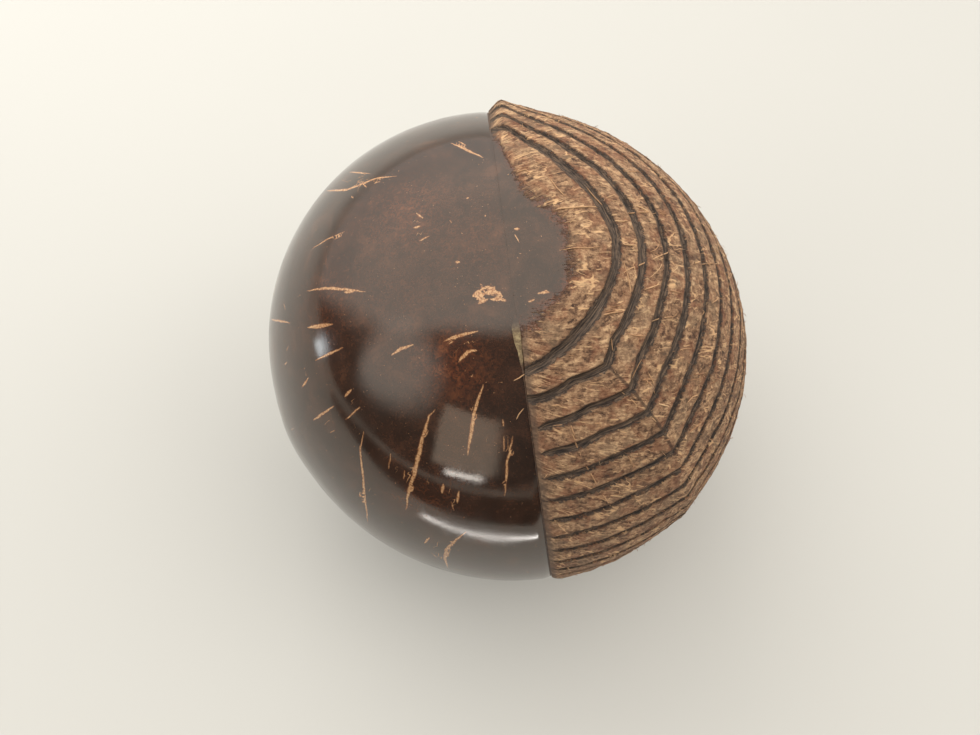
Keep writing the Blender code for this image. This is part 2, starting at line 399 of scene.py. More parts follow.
def half_shell(name, phi, theta, length, inner_length, side):
    """A closed half: fine outer grid, flat rim on the seam and a coarser inner face.
    theta, length and inner_length are (rows, columns); the first and last rows are single points."""
    rows, cols = theta.shape
    d = lune_dir(np.broadcast_to(phi, theta.shape), theta, side)
    origin = SEAM + side * HALF_GAP * N
    outer = origin + length[..., None] * d
    outer_pts = np.concatenate([outer[:1, 0], outer[1:-1].reshape(-1, 3), outer[-1:, 0]])

    def out_id(i, j):
        return 0 if i == 0 else (1 + (rows - 2) * cols if i == rows - 1 else 1 + (i - 1) * cols + j)

    ri = sorted(set(list(range(0, rows, 9)) + [rows - 1]))
    cj = sorted(set(list(range(0, cols, 9)) + [cols - 1]))
    inner = (origin + inner_length[..., None] * d)[np.ix_(ri, cj)]
    base = len(outer_pts)
    inner_pts = np.concatenate([inner[:1, 0], inner[1:-1].reshape(-1, 3), inner[-1:, 0]])
    nri, ncj = len(ri), len(cj)

    def in_id(i, j):
        return base + (0 if i == 0 else (1 + (nri - 2) * ncj if i == nri - 1 else 1 + (i - 1) * ncj + j))

    faces, uvs, kinds = [], [], []
    u_of = 0.01 + 0.87 * (np.asarray(phi) + 90.0) / 180.0
    v_of = 0.01 + 0.98 * theta / 180.0

    def grid(ids, n_rows, n_cols, us, vs, kind, flip):
        for i in range(n_rows - 1):
            for j in range(n_cols - 1):
                corners = [(i, j), (i, j + 1), (i + 1, j + 1), (i + 1, j)]
                if i == 0:
                    corners = [(0, j), (1, j + 1), (1, j)]
                elif i == n_rows - 2:
                    corners = [(i, j), (i, j + 1), (i + 1, j)]
                if flip:
                    corners = corners[::-1]
                faces.append([ids(a, b) for a, b in corners])
                uvs.extend((us[b], vs[a][b]) for a, b in corners)
                kinds.append(kind)

    turned = side > 0
    grid(out_id, rows, cols, u_of, v_of, 0, turned)
    n_outer_faces = len(faces)
    iu = 0.93 + 0.06 * np.linspace(0.0, 1.0, ncj)
    grid(in_id, nri, ncj, iu, v_of[np.ix_(ri, cj)], 1, not turned)
    for j_out, j_in, u0, u1, flip in ((0, 0, 0.889, 0.902, turned), (cols - 1, ncj - 1, 0.908, 0.921, not turned)):
        for a in range(nri - 1):
            run = list(range(ri[a], ri[a + 1] + 1))
            ring = [(out_id(i, j_out), u0, v_of[i, j_out]) for i in run]
            ring += [(in_id(a + 1, j_in), u1, v_of[ri[a + 1], j_out]), (in_id(a, j_in), u1, v_of[ri[a], j_out])]
            if flip:
                ring = ring[::-1]
            faces.append([r[0] for r in ring])
            uvs.extend((r[1], r[2]) for r in ring)
            kinds.append(1)
    mesh = make_mesh(name, np.concatenate([outer_pts, inner_pts]), faces)
    layer = mesh.uv_layers.new(name="OFBake")
    layer.data.foreach_set("uv", np.array(uvs, np.float32).ravel())
    mesh.polygons.foreach_set("material_index", kinds)
    mesh.polygons.foreach_set("use_smooth", [k == 0 or i < n_outer_faces + (nri - 1) * (ncj - 1) for i, k in enumerate(kinds)])

    def spread(values, fill):
        """A (rows, cols) array as one value per vertex, with fill on the inner face."""
        values = np.asarray(values, float)
        flat = np.concatenate([values[:1, 0], values[1:-1].reshape((-1,) + values.shape[2:]), values[-1:, 0]])
        rest = np.broadcast_to(np.asarray(fill, float), (len(inner_pts),) + values.shape[2:])
        return np.concatenate([flat, rest])

    return mesh, spread, outer


def level_off(mesh):
    """Sands the part below the floor plane to a flat."""
    co = np.zeros(len(mesh.vertices) * 3, np.float32)
    mesh.vertices.foreach_get("co", co)
    co = co.reshape(-1, 3)
    low = co[:, 2] < 0.0
    co[low, 2] = 0.0
    mesh.vertices.foreach_set("co", co.ravel())
    mesh.update()
    return low


def near_spot(d, spot, radius):
    """Distance in mm from a spot on the nut, over radius."""
    return np.arccos(np.clip(d @ spot, -1.0, 1.0)) * R / radius


# ---------------------------------------------------------------- shapes of the two halves
def polished_half():
    phi = columns(0.66)
    theta_rows = np.concatenate([[0.0], np.linspace(0.35, 179.65, 290), [180.0]])
    theta = np.repeat(theta_rows[:, None], len(phi), 1)
    phis = np.broadcast_to(phi, theta.shape)
    d = lune_dir(phis, theta, -1)
    origin = SEAM - HALF_GAP * N
    s = reach(np.broadcast_to(origin, d.shape), d)
    p = origin + s[..., None] * d
    out = unit(p - C)
    around, away = own(out)
    # what sanding has left of the third ridge, and its slow unevenness
    turn = around - math.radians(205.0)
    ridge = 0.42 * np.minimum(1.0, np.sin(away) / 0.5) * np.exp(-(R * np.sin(away) * np.sin(turn) / 8.0) ** 2) * (np.cos(turn) > 0)
    slow = slow_wave(p)
    delta = -((p - origin) @ N)
    edge = seam_edge(theta, phis < 0.0)
    rounding = 0.42 * edge * np.clip(1.0 - delta / 2.3, 0.0, 1.0) ** 2
    h = ridge + slow - rounding
    mesh, spread, outer = half_shell("polished_half", phi, theta, s + h, s - WALL, -1)
    pts = spread(outer, (0, 0, 0))
    outs = spread(out, (0, 0, 1))
    n_in = len(pts) - (2 + (theta.shape[0] - 2) * theta.shape[1])

    def far(dd):
        # keeps random marks to the part of the half that the picture shows none of
        q = C + dd * body_radius(dd)
        to = unit(CAM - q)
        return (dd @ N) * R < 4.0 and float(to @ dd) < 0.12

    def between(dd):
        q = C + dd * body_radius(dd)
        return (dd @ N) * R < 3.0 and float(unit(CAM - q) @ dd) >= 0.12

    small = [(line, 0.10 + 0.06 * rng.random()) for line, _ in random_marks(46, between)]
    small = [(line[:2], half) for line, half in small]
    marks = picture_marks() + random_marks(70, far) + small
    along, across, width, tint = mark_coords(pts, outs, marks)
    width[len(pts) - n_in:] = -2.0
    put(mesh, "mark", np.stack([along, across, width], -1))
    put(mesh, "mark_tint", tint)
    put(mesh, "fibre_way", spread(fibre_coords(phis, theta) + np.array([300.0, 0.0, 0.0]), (0, 0, 0)))
    zone = np.zeros(theta.shape)
    for px, radius, amount in (((450, 366), 7.0, 0.9), ((404, 214), 10.0, 0.55), ((395, 300), 12.0, 0.25), ((430, 500), 9.0, 0.35),
                               ((330, 300), 10.0, 0.35), ((470, 240), 9.0, 0.30)):
        spot = from_view([px])[0]
        zone = np.maximum(zone, amount * np.exp(-np.sum((outer - spot) ** 2, -1) / radius ** 2))
    put(mesh, "warm", spread(zone, 0.0))
    eye = np.minimum(near_spot(out, EYE, 1.0), 40.0)
    put(mesh, "eye_mm", spread(eye, 40.0))
    put(mesh, "eye_3_mm", spread(np.minimum(near_spot(out, EYE_3, 1.0), 40.0), 40.0))
    low = level_off(mesh)
    put(mesh, "rest", low.astype(float))
    return mesh


def carved_half():
    phi = columns(0.80)
    inner = np.linspace(-0.17, 0.17, 11)
    outer_steps = np.array([0.21, 0.29, 0.40, 0.5])
    ts = [0.0, 0.02, 0.06, 0.11, 0.17, 0.24, 0.32, 0.41, 0.5]
    for k in range(1, GROOVES + 1):
        ts += list(k - outer_steps[::-1][1:]) + list(k + inner) + list(k + outer_steps)
    ts += list(np.linspace(GROOVES + 0.6, 25.9, 44)) + [26.0]
    ts = np.array(ts)
    t = np.repeat(ts[:, None], len(phi), 1)
    phis = np.broadcast_to(phi, t.shape).copy()
    theta = groove_theta(phis, t)
    theta[0], theta[-1] = 0.0, 180.0
    d = lune_dir(phis, theta, 1)
    origin = SEAM + HALF_GAP * N
    s = reach(np.broadcast_to(origin, d.shape), d)
    p = origin + s[..., None] * d
    out = unit(p - C)
    delta = (p - origin) @ N
    flat_p = p.reshape(-1, 3)
    way = fibre_coords(phis, theta)

    # the lacquered patch beside the tip
    patch_mm = (PATCH(phis) - theta) * R * math.pi / 180.0
    patch_mm = patch_mm + 0.8 * vnoise(flat_p / 4.0, 21).reshape(t.shape)
    skin = 1.0 - smooth(-1.4, 0.9, patch_mm)

    # grooves
    k = np.clip(np.round(t), 1, GROOVES)
    spacing = np.gradient(theta, axis=0) / np.gradient(t, axis=0) * math.pi / 180.0 * s
    x = (t - k) * spacing
    along = np.radians(phis) * np.sin(np.radians(theta)) * R
    width = np.interp(k, [1, 2, 3, 6, 10, 19], [1.22, 1.06, 0.93, 0.84, 0.72, 0.66])
    width = width * (1.0 + 0.13 * vnoise(np.stack([along / 6.0, k * 3.7, 0 * k], -1).reshape(-1, 3), 22).reshape(t.shape))
    width = width * (0.86 + 0.16 * smooth(-70.0, 5.0, phis))
    ragged = vnoise(np.stack([along / 1.1, k * 2.3, np.sign(x) * 2.0], -1).reshape(-1, 3), 24).reshape(t.shape)
    width = width * (1.0 + 0.10 * ragged)
    short = np.where(k >= 3, 0.1 + 0.7 * hash01(k.astype(np.int64), 0 * k.astype(np.int64), 0 * k.astype(np.int64), 5), -0.6)
    ends = np.where(phis < 0, smooth(0.0, 1.0, (delta - short) / np.where(k >= 3, 2.6, 0.8)), 1.0)
    width = width * ends ** 0.7
    depth = 0.95 * ends * (0.92 + 0.16 * vnoise(np.stack([along / 4.0, k * 5.1, 0 * k + 9], -1).reshape(-1, 3), 23).reshape(t.shape))
    q = np.abs(x) / np.maximum(width, 1e-4)
    live = (np.abs(t - np.round(t)) <= 0.3) & (np.round(t) >= 1) & (np.round(t) <= GROOVES)
    cut = np.where(live, depth * np.clip(1.0 - q ** 2.0, 0.0, 1.0), 0.0)
    lip = np.where(live, 0.07 * np.exp(-((q - 1.18) / 0.2) ** 2) * ends, 0.0)

    # ridges that the grooves bend over
    crest = 2.05 * smooth(28.0, 62.0, theta) * (1.0 - smooth(120.0, 165.0, theta)) * (phis > 0)
    rise = np.where(delta < 3.0, np.clip(delta / 3.0, 0.0, 1.0) ** 0.9, np.exp(-((delta - 3.0) / 4.5) ** 1.0 * (1.0 - np.exp(-(delta - 3.0) / 1.2))))
    ridge_top = crest * rise
    off = (phis - kink_at(t)) * math.pi / 180.0 * np.sin(np.radians(theta)) * R
    ridge_side = 0.75 * smooth(1.5, 3.0, t) * (1.0 - smooth(16.0, 24.0, t)) * np.exp(-np.abs(off / 3.6) ** 1.3)

    # fibrous skin
    stretched = (way * np.array([1.0, 0.22, 1.0])).reshape(-1, 3)
    rough = 0.13 * vnoise(flat_p / 2.9, 31) + 0.09 * vnoise(flat_p / 1.25, 33) + 0.05 * vnoise(flat_p / 0.7, 35)
    rough += 0.20 * np.maximum(vnoise(stretched / 1.3, 34), 0.4) - 0.08
    rough = rough.reshape(t.shape)
    rim = np.clip(1.0 - delta / 0.7, 0.0, 1.0) ** 2 * 0.22
    inside = np.where(live, 1.0 - 0.65 * smooth(1.0, 0.6, q), 1.0)
    flank = np.where(phis > 0, smooth(-0.2, 2.6, delta), smooth(-0.55, 1.7, delta))
    h = skin * ((PROUD + rough * inside) * flank - cut * (0.35 + 0.65 * flank) + lip - rim * (phis < 0) * 0.5) + (1.0 - skin) * slow_wave(p) + ridge_top + ridge_side
    for spot, size, deep in ((EYE_2, 4.6, 1.5),):
        away_eye = near_spot(out, spot, size)
        h = h - deep * (1.0 - smooth(0.55, 1.0, away_eye)) + 0.35 * np.exp(-((away_eye - 1.25) / 0.22) ** 2)

    # the filled chip along the seam below the tip
    theta_chip = lune_of(from_view(CHIP), 1)[1]
    lo, hi = theta_chip[0], theta_chip[-1]
    chip = 0.30 * smooth(lo - 2.0, lo + 1.5, theta) * (1.0 - smooth(hi - 2.0, hi + 2.0, theta)) * (phis < 0)
    push = chip * np.clip(1.0 - delta / 3.0, 0.0, 1.0)
    p_new = origin + (s + h)[..., None] * d + push[..., None] * N
    mesh, spread, outer = half_shell("carved_half", phi, theta, s + h, s - WALL, 1)
    moved = spread(p_new, (0, 0, 0))
    co = np.zeros(len(mesh.vertices) * 3, np.float32)
    mesh.vertices.foreach_get("co", co)
    co = co.reshape(-1, 3)
    n_out = 2 + (t.shape[0] - 2) * t.shape[1]
    co[:n_out] = moved[:n_out] * 0.001
    mesh.vertices.foreach_set("co", co.ravel())
    mesh.update()

    pts, outs = moved, spread(out, (0, 0, 1))
    marks = picture_marks()
    m_along, m_across, m_width, m_tint = mark_coords(pts, outs, marks)
    m_width[n_out:] = -2.0
    put(mesh, "mark", np.stack([m_along, m_across, m_width], -1))
    put(mesh, "mark_tint", m_tint)
    put(mesh, "fibre_way", spread(way, (0, 0, 0)))
    put(mesh, "groove", spread(np.stack([x, along + 31.0 * k, np.where(live, width, -5.0)], -1), (9, 0, -5)))
    put(mesh, "patch_mm", spread(patch_mm, -9.0))
    put(mesh, "seam_mm", spread(delta, 9.0))
    put(mesh, "crest_mm", spread(np.where((t > 1.9) & (t < 6.2), off, 9.0), 9.0))
    put(mesh, "eye_mm", spread(np.minimum(near_spot(out, EYE_2, 1.0), 40.0), 40.0))
    low = level_off(mesh)
    put(mesh, "rest", low.astype(float))
    return mesh


CHIP = [(511, 320), (519, 372)]


# ---------------------------------------------------------------- filler line
def seam_filler():
    count = 900
    turn = np.linspace(0.0, 360.0, count, endpoint=False)
    theta = np.where(turn <= 180.0, turn, 360.0 - turn)
    phi = np.where(turn <= 180.0, 90.0, -90.0)
    d = lune_dir(phi, theta, 1)
    s = reach(np.broadcast_to(SEAM, d.shape), d)
    p = SEAM + s[:, None] * d
    bottom = phi < 0
    edge = seam_edge(theta, bottom)
    lo, hi = lune_of(from_view(CHIP), 1)[1]
    chip = smooth(lo - 2.0, lo + 1.5, theta) * (1.0 - smooth(hi - 2.0, hi + 2.0, theta)) * bottom
    chip = chip * (1.0 - 0.85 * np.clip((theta - lo) / (hi - lo), 0.0, 1.0) ** 2.2) * (1.0 + 0.25 * vnoise(p / 1.3, 43))
    level = -0.42 * edge + slow_wave(p) + 0.04 * edge - 0.06 * edge * np.abs(vnoise(p / 2.2, 41)) + 0.26 * chip
    around, away = own(unit(p - C))
    left, right = -HALF_GAP + 0.004 - 0.75 * chip, HALF_GAP - 0.004 + 0.30 * chip
    rings = []
    for share, drop in ((0.0, 0.03), (0.3, 0.0), (0.7, 0.0), (1.0, 0.03)):
        bump = 0.05 * vnoise(p / 0.9 + share * 7.0, 42) * (0.3 + chip)
        rings.append(SEAM + (s + level + (bump - drop) * edge)[:, None] * d + (left + (right - left) * share)[:, None] * N)
    for share in (1.0, 0.0):
        rings.append(SEAM + (s - WALL)[:, None] * d + (left + (right - left) * share * (1.0 - 0.8 * chip))[:, None] * N)
    pts = np.concatenate(rings)
    n_ring = len(rings)
    faces = []
    for a in range(n_ring):
        b = (a + 1) % n_ring
        for i in range(count):
            j = (i + 1) % count
            faces.append([a * count + i, a * count + j, b * count + j, b * count + i])
    mesh = make_mesh("seam_filler_line", pts, faces)
    mesh.polygons.foreach_set("use_smooth", [True] * len(faces))
    mesh.set_sharp_from_angle(angle=math.radians(50.0))
    lacquer = np.where(bottom, 1.0 - smooth(4.5, 7.5, theta), 1.0 - smooth(36.0, 44.0, theta))
    put(mesh, "lacquered", np.tile(lacquer, n_ring))
    put(mesh, "khaki", np.tile(chip, n_ring))
    put(mesh, "fibre_way", np.tile(fibre_coords(phi, theta), (n_ring, 1)))
    level_off(mesh)
    bm = bmesh.new()
    bm.from_mesh(mesh)
    bmesh.ops.recalc_face_normals(bm, faces=bm.faces)
    bm.to_mesh(mesh)
    bm.free()
    return mesh


# ---------------------------------------------------------------- loose and lying fibres
def tube(points, radii, sides, verts, faces):
    """Adds a closed, tapered strand through points to verts and faces."""
    points = np.asarray(points)
    n = len(points)
    tang = unit(np.gradient(points, axis=0))
    ref = np.array([0.0, 0.0, 1.0]) if abs(tang[0] @ np.array([0.0, 0.0, 1.0])) < 0.9 else np.array([1.0, 0.0, 0.0])
    start = len(verts)
    verts.append(points[0])
    for i in range(1, n - 1):
        u = unit(np.cross(tang[i], ref))
        v = np.cross(tang[i], u)
        for k in range(sides):
            a = 2.0 * math.pi * k / sides
            verts.append(points[i] + radii[i] * (math.cos(a) * u + math.sin(a) * v))
    verts.append(points[-1])
    last = len(verts) - 1
    for k in range(sides):
        m = (k + 1) % sides
        faces.append([start, start + 1 + m, start + 1 + k])
        for i in range(n - 3):
            a, b = start + 1 + i * sides, start + 1 + (i + 1) * sides
            faces.append([a + k, a + m, b + m, b + k])
        a = start + 1 + (n - 3) * sides
        faces.append([a + k, a + m, last])
    return start, last + 1


def skin_height(points, outs):
    """Where points lie on the carved half: its angles, the pattern line t, how far a point is from the nearest groove
    and how far inside the patch it is.
    """
    phi, theta = lune_of(points, 1)
    grid = np.linspace(0.0, 26.0, 521)
    t = np.zeros(len(points))
    for i in range(len(points)):
        t[i] = np.interp(theta[i], groove_theta(np.full(521, phi[i]), grid), grid)
    gap = np.abs(t - np.clip(np.round(t), 1, GROOVES)) * 6.4
    patch = (PATCH(phi) - theta) * R * math.pi / 180.0
    return phi, theta, t, gap, patch


def fibres(carved):
    """Strands that lie in the carved skin, and short hairs that stand off it."""
    co = np.zeros(len(carved.vertices) * 3, np.float32)
    carved.vertices.foreach_get("co", co)
    co = co.reshape(-1, 3) * 1000.0
    from mathutils.kdtree import KDTree
    step = 1
    tree = KDTree(len(co) // step + 1)
    for i in range(0, len(co), step):
        tree.insert(co[i], i)
    tree.balance()

    def settle(p, lift):
        """Puts p on the carved skin below or above it."""
        d = unit(p - C)
        near = tree.find_n(Vector(p), 4)
        r = np.mean([np.linalg.norm(np.array(n[0]) - C) for n in near])
        return C + d * (r + lift)

    verts, faces, tints = [], [], []

    def add(line, radius, sides=5, tint=None):
        n = len(line)
        share = np.linspace(0.0, 1.0, n)
        radii = radius * np.maximum(np.sin(np.pi * np.clip(share, 0.02, 0.98)), 0.0) ** 0.45
        a, b = tube(line, radii, sides, verts, faces)
        tints.extend([rng.random() if tint is None else tint] * (b - a))

    clumps = []
    while len(clumps) < 190:
        d = unit(rng.normal(size=3))
        if (d @ N) * R > 5.0 and d[2] > -0.93:
            clumps.append(d)
    for d in clumps:
        phi0, theta0 = lune_of((C + d * body_radius(d))[None], 1)
        x0, y0 = fibre_coords(phi0, theta0)[0, :2]
        slant = rng.normal(0.0, 0.22)
        tint = rng.uniform(0.1, 0.8)
        for _ in range(rng.integers(1, 4)):
            length = rng.uniform(2.5, 8.5)
            count = max(6, int(length / 0.5))
            own_slant = slant + rng.normal(0.0, 0.30)
            bend = rng.normal(0.0, 0.05)
            w = np.linspace(-0.5, 0.5, count) * length
            ys = y0 + rng.normal(0.0, 1.6) + w
            xs = x0 + rng.normal(0.0, 0.9) + own_slant * w + bend * w * w
            theta = np.degrees(ys / R)
            if theta.min() < 4.0 or theta.max() > 172.0:
                continue
            phi = np.degrees(xs / (R * np.sin(np.radians(theta))))
            if np.abs(phi).max() > 88.5:
                continue
            way = lune_dir(phi, theta, 1)
            path = SEAM + reach(np.broadcast_to(SEAM, way.shape), way)[:, None] * way
            phi, theta, t, gap, patch = skin_height(path, None)
            good = ((gap > 1.05) | (t > GROOVES + 0.4)) & (patch < 0.4)
            runs, current = [], []
            for i, ok in enumerate(good):
                if ok:
                    current.append(i)
                elif current:
                    runs.append(current)
                    current = []
            if current:
                runs.append(current)
            for run in runs:
                if len(run) < 4:
                    continue
                radius = rng.uniform(0.05, 0.10) if rng.random() < 0.75 else rng.uniform(0.10, 0.16)
                arch = rng.uniform(0.0, 0.06) if rng.random() < 0.85 else rng.uniform(0.1, 0.4)
                share = np.linspace(0.0, 1.0, len(run))
                line = [settle(path[i], -0.01 + arch * math.sin(math.pi * v)) for i, v in zip(run, share)]
                add(line, radius, 5, min(1.0, max(0.0, tint + rng.normal(0.0, 0.15))))
    # hairs
    made = 0
    while made < 800:
        d = unit(rng.normal(size=3))
        if (d @ N) * R < 5.0 or d[2] < -0.9:
            continue
        p = C + d * body_radius(d)
        phi, theta, t, gap, patch = skin_height(p[None], None)
        if patch[0] > -0.8 or (gap[0] < 0.8 and t[0] < GROOVES + 0.4):
            continue
        around, away = own(d)
        south = NUT @ np.array([math.cos(away) * math.cos(around), math.cos(away) * math.sin(around), -math.sin(away)])
        east = np.cross(d, south)
        turn = rng.uniform(0.0, 2.0 * math.pi)
        side = math.cos(turn) * south + math.sin(turn) * east
        length = rng.uniform(0.6, 2.0)
        stand = rng.uniform(0.25, 0.9)
        root = settle(p, -0.12)
        line = []
        for w in np.linspace(0.0, 1.0, 6):
            line.append(root + d * (length * stand * (w - 0.35 * w * w)) + side * (length * (1 - 0.55 * stand) * w * w))
        add(line, rng.uniform(0.04, 0.075), 4, rng.uniform(0.0, 0.6))
        made += 1
    # strands that the picture shows one by one
    for px, radius, lift in (
        ([(552, 211), (568, 210), (584, 209), (600, 208)], 0.17, 0.05),
        ([(560, 250), (574, 249), (588, 249), (600, 248)], 0.13, 0.05),
        ([(571, 432), (576, 444), (580, 455)], 0.16, 0.05),
        ([(585, 464), (592, 476), (597, 485)], 0.16, 0.05),
        ([(601, 492), (606, 499), (610, 505)], 0.13, 0.05),
        ([(513, 381), (519, 378), (525, 374)], 0.12, 0.03),
        ([(516, 420), (519, 414), (524, 408)], 0.11, 0.03),
        ([(622, 262), (628, 284), (630, 300)], 0.12, 0.04),
        ([(608, 330), (612, 342), (613, 352)], 0.12, 0.04),
        ([(646, 372), (652, 384), (655, 395)], 0.12, 0.04),
        ([(548, 178), (556, 190), (566, 200)], 0.12, 0.04),
        ([(586, 186), (596, 198), (603, 206)], 0.11, 0.04),
        ([(616, 280), (625, 271), (635, 267), (654, 259), (660, 256), (675, 250), (685, 250)], 0.15, 0.05),
        ([(621, 246), (628, 247), (636, 247)], 0.15, 0.05),
        ([(641, 291), (650, 288), (660, 284)], 0.14, 0.05),
        ([(622, 212), (637, 214), (657, 214)], 0.14, 0.05),
        ([(600, 316), (612, 313), (622, 312)], 0.15, 0.05),
        ([(625, 334), (635, 336), (646, 336)], 0.14, 0.05),
        ([(667, 291), (674, 293), (681, 294)], 0.13, 0.05),
        ([(709, 304), (713, 301), (716, 297)], 0.12, 0.05),
        ([(699, 232), (705, 234), (712, 237)], 0.12, 0.05),
        ([(692, 264), (708, 265), (725, 264)], 0.10, 0.05),
        ([(701, 302), (704, 312), (696, 329)], 0.11, 0.05),
        ([(515, 175), (525, 172), (532, 177)], 0.14, 0.05),
        ([(575, 152), (581, 151), (587, 153)], 0.13, 0.05),
        ([(625, 174), (631, 174), (637, 173)], 0.14, 0.05),
        ([(616, 223), (621, 223), (627, 222)], 0.13, 0.05),
        ([(551, 405), (556, 404), (561, 405)], 0.15, 0.05),
        ([(552, 426), (558, 425), (565, 424)], 0.14, 0.05),
        ([(569, 421), (571, 428), (574, 435)], 0.13, 0.05),
        ([(592, 423), (598, 422), (600, 426), (594, 427)], 0.11, 0.05),
        ([(620, 391), (627, 397), (635, 406)], 0.14, 0.05),
        ([(642, 378), (646, 382), (650, 386)], 0.13, 0.05),
        ([(625, 452), (628, 457), (630, 463)], 0.13, 0.05),
        ([(645, 412), (648, 416), (652, 420)], 0.12, 0.05),
        ([(645, 352), (637, 367), (630, 380)], 0.10, 0.04),
        ([(672, 352), (680, 349), (690, 348)], 0.12, 0.05),
        ([(684, 402), (690, 396), (699, 393)], 0.12, 0.05),
        ([(650, 322), (661, 318), (672, 317)], 0.13, 0.05),
    ):
        px = np.array(px, float)
        many = np.linspace(0.0, len(px) - 1.0, 9)
        fine = np.stack([np.interp(many, range(len(px)), px[:, 0]), np.interp(many, range(len(px)), px[:, 1])], -1)
        add([settle(q, lift) for q in from_view(fine)], radius, 6, rng.uniform(0.35, 0.65))
    mesh = make_mesh("fibre_strands", np.array(verts), faces)
    mesh.polygons.foreach_set("use_smooth", [True] * len(faces))
    put(mesh, "tint", tints)
    return mesh


# ---------------------------------------------------------------- plug and seeds
def turned(profile, sides):
    """A closed turned body from (radius, height) pairs that start and end on the axis."""
    verts = [(0.0, 0.0, profile[0][1])]
    for r, z in profile[1:-1]:
        verts += [(r * math.cos(2 * math.pi * k / sides), r * math.sin(2 * math.pi * k / sides), z) for k in range(sides)]
    verts.append((0.0, 0.0, profile[-1][1]))
    faces = []
    n = len(profile) - 2
    for k in range(sides):
        m = (k + 1) % sides
        faces.append([0, 1 + k, 1 + m])
        for i in range(n - 1):
            a, b = 1 + i * sides, 1 + (i + 1) * sides
            faces.append([a + k, b + k, b + m, a + m])
        a = 1 + (n - 1) * sides
        faces.append([a + m, a + k, len(verts) - 1])
    return np.array(verts), faces


def plug():
    rim, small, top = EYE_R - 0.3, EYE_R - 0.7, 0.18
    profile = [(0.0, top)]
    profile += [(rim * w, top - 0.16 * w ** 3) for w in (0.12, 0.25, 0.4, 0.55, 0.7, 0.82, 0.9)]
    profile += [(rim - 0.28, top - 0.24), (rim - 0.10, top - 0.42), (rim, top - 0.8), (rim, top - 1.2)]
    profile += [(rim + (small - rim) * w, top - 1.2 - 3.6 * w) for w in (0.25, 0.5, 0.75, 1.0)]
    profile += [(small - 0.3, -5.05), (small - 0.6, -5.3), (small * 0.5, -5.35), (0.0, -5.35)]
    verts, faces = turned(profile, 64)
    # cut by hand: facets down the side and a whittled, slightly uneven end
    a = np.arctan2(verts[:, 1], verts[:, 0])
    r = np.hypot(verts[:, 0], verts[:, 1])
    facet = 1.0 - 0.012 * np.abs(np.sin(a * 5.5)) * (verts[:, 2] < top - 0.5)
    verts[:, 0] *= facet
    verts[:, 1] *= facet
    bump = 0.05 * vnoise(np.stack([verts[:, 0] / 1.2, verts[:, 1] / 3.0, 0 * r], -1), 51) + 0.03 * vnoise(np.stack([verts[:, 0] / 0.5, verts[:, 1] / 2.0, 0 * r + 4], -1), 52)
    verts[:, 2] += np.where(verts[:, 2] > top - 0.3, bump - 0.03, 0.0)
    q = Vector(EYE).to_track_quat("Z", "Y").to_matrix()
    place = C + EYE * body_radius(EYE)
    world = verts @ np.array(q).T + place
    mesh = make_mesh("eye_plug_turned", world, faces)
    mesh.polygons.foreach_set("use_smooth", [True] * len(faces))
    put(mesh, "plug_way", verts)
    return mesh


def seed(index):
    node = "seed_%02d" % index
    lo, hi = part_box(node)
    mid = (np.array(lo) + np.array(hi)) * 500.0
    half = (np.array(hi) - np.array(lo)) * 500.0
    cols, rows = 36, 22
    verts, faces = [], []
    turn = rng.uniform(0.0, 2.0 * math.pi)
    for i in range(rows + 1):
        polar = math.pi * i / rows
        for j in range(cols if 0 < i < rows else 1):
            a = 2.0 * math.pi * j / cols
            verts.append((math.sin(polar) * math.cos(a), math.sin(polar) * math.sin(a), math.cos(polar)))
    verts = np.array(verts)
    # a flattish bean: a scar with a raised rim on one side and shallow wrinkles
    scar_at = unit(np.array([math.cos(turn), math.sin(turn), 0.35]))
    away = np.arccos(np.clip(verts @ scar_at, -1, 1))
    radius = 0.985 - 0.10 * np.exp(-(away / 0.26) ** 2) + 0.035 * np.exp(-((away - 0.42) / 0.11) ** 2)
    radius *= 1.0 - 0.012 * (1.0 + vnoise(verts * 3.1 + index, 61)) - 0.010 * (1.0 + vnoise(verts * 7.0 + index, 62))
    radius = np.minimum(radius, 1.0)
    points = mid + verts * radius[:, None] * half

    def vid(i, j):
        return 0 if i == 0 else (1 + (rows - 1) * cols if i == rows else 1 + (i - 1) * cols + j % cols)

    for i in range(rows):
        for j in range(cols):
            ring = [vid(i, j), vid(i + 1, j), vid(i + 1, j + 1), vid(i, j + 1)]
            ring = [v for n, v in enumerate(ring) if v not in ring[:n]]
            faces.append(ring)
    mesh = make_mesh("loose_" + node, points, faces)
    mesh.polygons.foreach_set("use_smooth", [True] * len(faces))
    put(mesh, "scar", away)
    put(mesh, "seed_way", verts * half + index * 13.0)
    ob = make_object("loose_" + node, mesh)
    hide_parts(node)
    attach(ob, node)
    return ob


# ---------------------------------------------------------------- materials
def srgb(r, g, b):
    def lin(c):
        c /= 255.0
        return c / 12.92 if c <= 0.04045 else ((c + 0.055) / 1.055) ** 2.4
    return (lin(r), lin(g), lin(b), 1.0)


